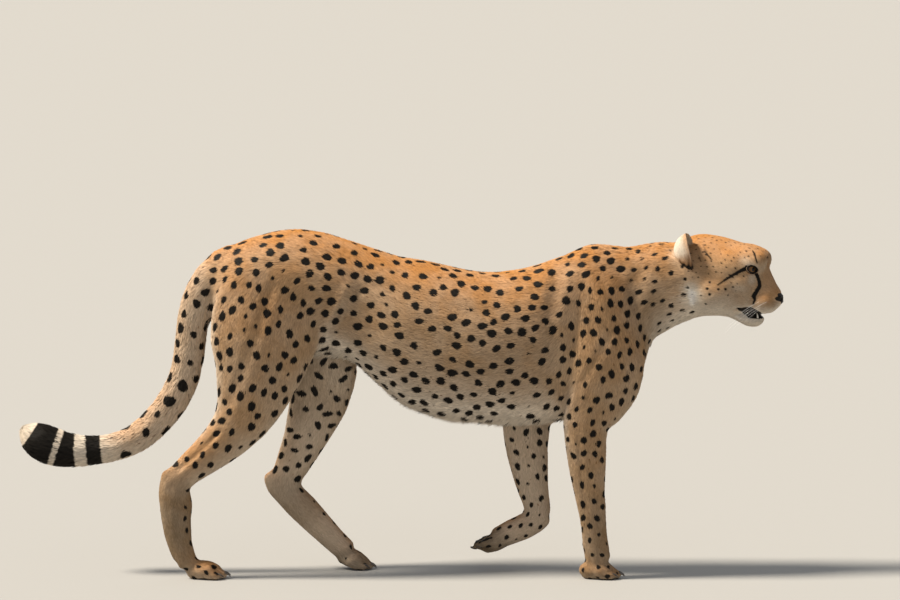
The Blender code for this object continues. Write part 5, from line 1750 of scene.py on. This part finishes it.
def joined(name, meshes):
    work = bmesh.new()
    for mesh in meshes:
        work.from_mesh(mesh)
    made = bpy.data.meshes.new(name)
    work.to_mesh(made)
    work.free()
    smooth_faces(made)
    return new_object(name, made)


def grained_material(name, dark, light, scale, roughness, height, coat=0.0):
    """Horn, tooth or whisker: two colours in a fine grain that also roughens the surface."""
    made, tree, shader = new_material(name, {"Roughness": roughness, "Coat Weight": coat})
    grain = texture(tree, "ShaderNodeTexNoise", Scale=scale, Detail=5).outputs["Fac"]
    colour = mixed(tree, ranged(tree, grain, 0.3, 0.7), dark, light)
    tree.links.new(colour, shader.inputs["Base Color"])
    bump(tree, shader, grain, height)
    return made


# %% Teeth
def curve_points(start, way, bend, length, count):
    """Points on a gently bent path."""
    t = np.linspace(0, 1, count)[:, None]
    return np.array(start) + np.array(way) * t * length + np.array(bend) * t**2 * length


TOOTH_LONG = 0.016
TOOTH_RADII = (0.0023, 0.0024, 0.0023, 0.0021, 0.0018, 0.0015, 0.0011, 0.0007, 0.0002)
ivory = grained_material("tooth_ivory", (0.62, 0.55, 0.44), (0.78, 0.74, 0.66), 300, 0.3, 0.00005, 0.4)
teeth = []
for sign in (-1, 1):
    start, way = head_point(0.1060, sign * 0.0165, -0.0930), head_way(0.15, sign * 0.12, 1.0)
    path = curve_points(start, way, head_way(-0.25, 0, 0), TOOTH_LONG, len(TOOTH_RADII))
    teeth.append(tube("tooth", path, TOOTH_RADII, 12))
tooth = joined("canine_teeth", teeth)
tooth.data.materials.append(ivory)
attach(tooth, "root")

# %% Whiskers
WHISKER_LONG, WHISKER_RADII = (0.045, 0.075), np.linspace(0.00025, 0.00006, 9)
whiskers = []
for sign in (-1, 1):
    for forward, height in WHISKER_ROOTS[::2]:
        hit = skin_tree.ray_cast(head_point(forward, sign * 0.08, height), head_way(0, -sign, 0))[0]
        if hit is None:
            continue
        length = RANDOM.uniform(*WHISKER_LONG)
        way = head_way(-0.62, sign * 0.62, 0.35 + 12 * height)
        droop = head_way(-0.18, sign * -0.05, -0.30)
        path = curve_points(np.array(hit) - np.array(way) * 0.002, way, droop, length, len(WHISKER_RADII))
        whiskers.append(tube("whisker", path, WHISKER_RADII, 6))
whisker = joined("whiskers", whiskers)
white_hair = grained_material("whisker_hair", (0.80, 0.78, 0.74), (0.92, 0.91, 0.88), 60, 0.45, 0.00002)
whisker.data.materials.append(white_hair)
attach(whisker, "root")
print("whiskers", len(whiskers))

# %% Claws
CLAW_START, CLAW_LONG, CLAW_RISE = 0.0085, 0.0190, 0.0160
CLAW_RADII = (0.0029, 0.0030, 0.0030, 0.0029, 0.0026, 0.0022, 0.0017, 0.0012, 0.0006)
horn = grained_material("claw_horn", (0.035, 0.027, 0.021), (0.11, 0.085, 0.065), 220, 0.4, 0.00012, 0.1)
for foot, (heel, tip_down, bend_up, spread) in PAWS.items():
    toes = toe_frame(heel, tip_down, bend_up)
    claws = []
    for across, forward in zip(TOE_ACROSS, TOE_FORWARD):
        path = []
        for t in np.linspace(0, 1, len(CLAW_RADII)):
            height = CLAW_RISE + 0.0022 * math.sin(t * 2.4) - 0.0080 * t * t
            ahead = forward + CLAW_START + CLAW_LONG * t
            path.append(toes @ Vector((ahead, across * spread * CLAW_SPREAD, height)))
        claws.append(tube("claw", path, CLAW_RADII, 12))
    claw = joined("claws_" + foot, claws)
    claw.data.materials.append(horn)
    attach(claw, "root")
print("claws on", len(PAWS), "feet")
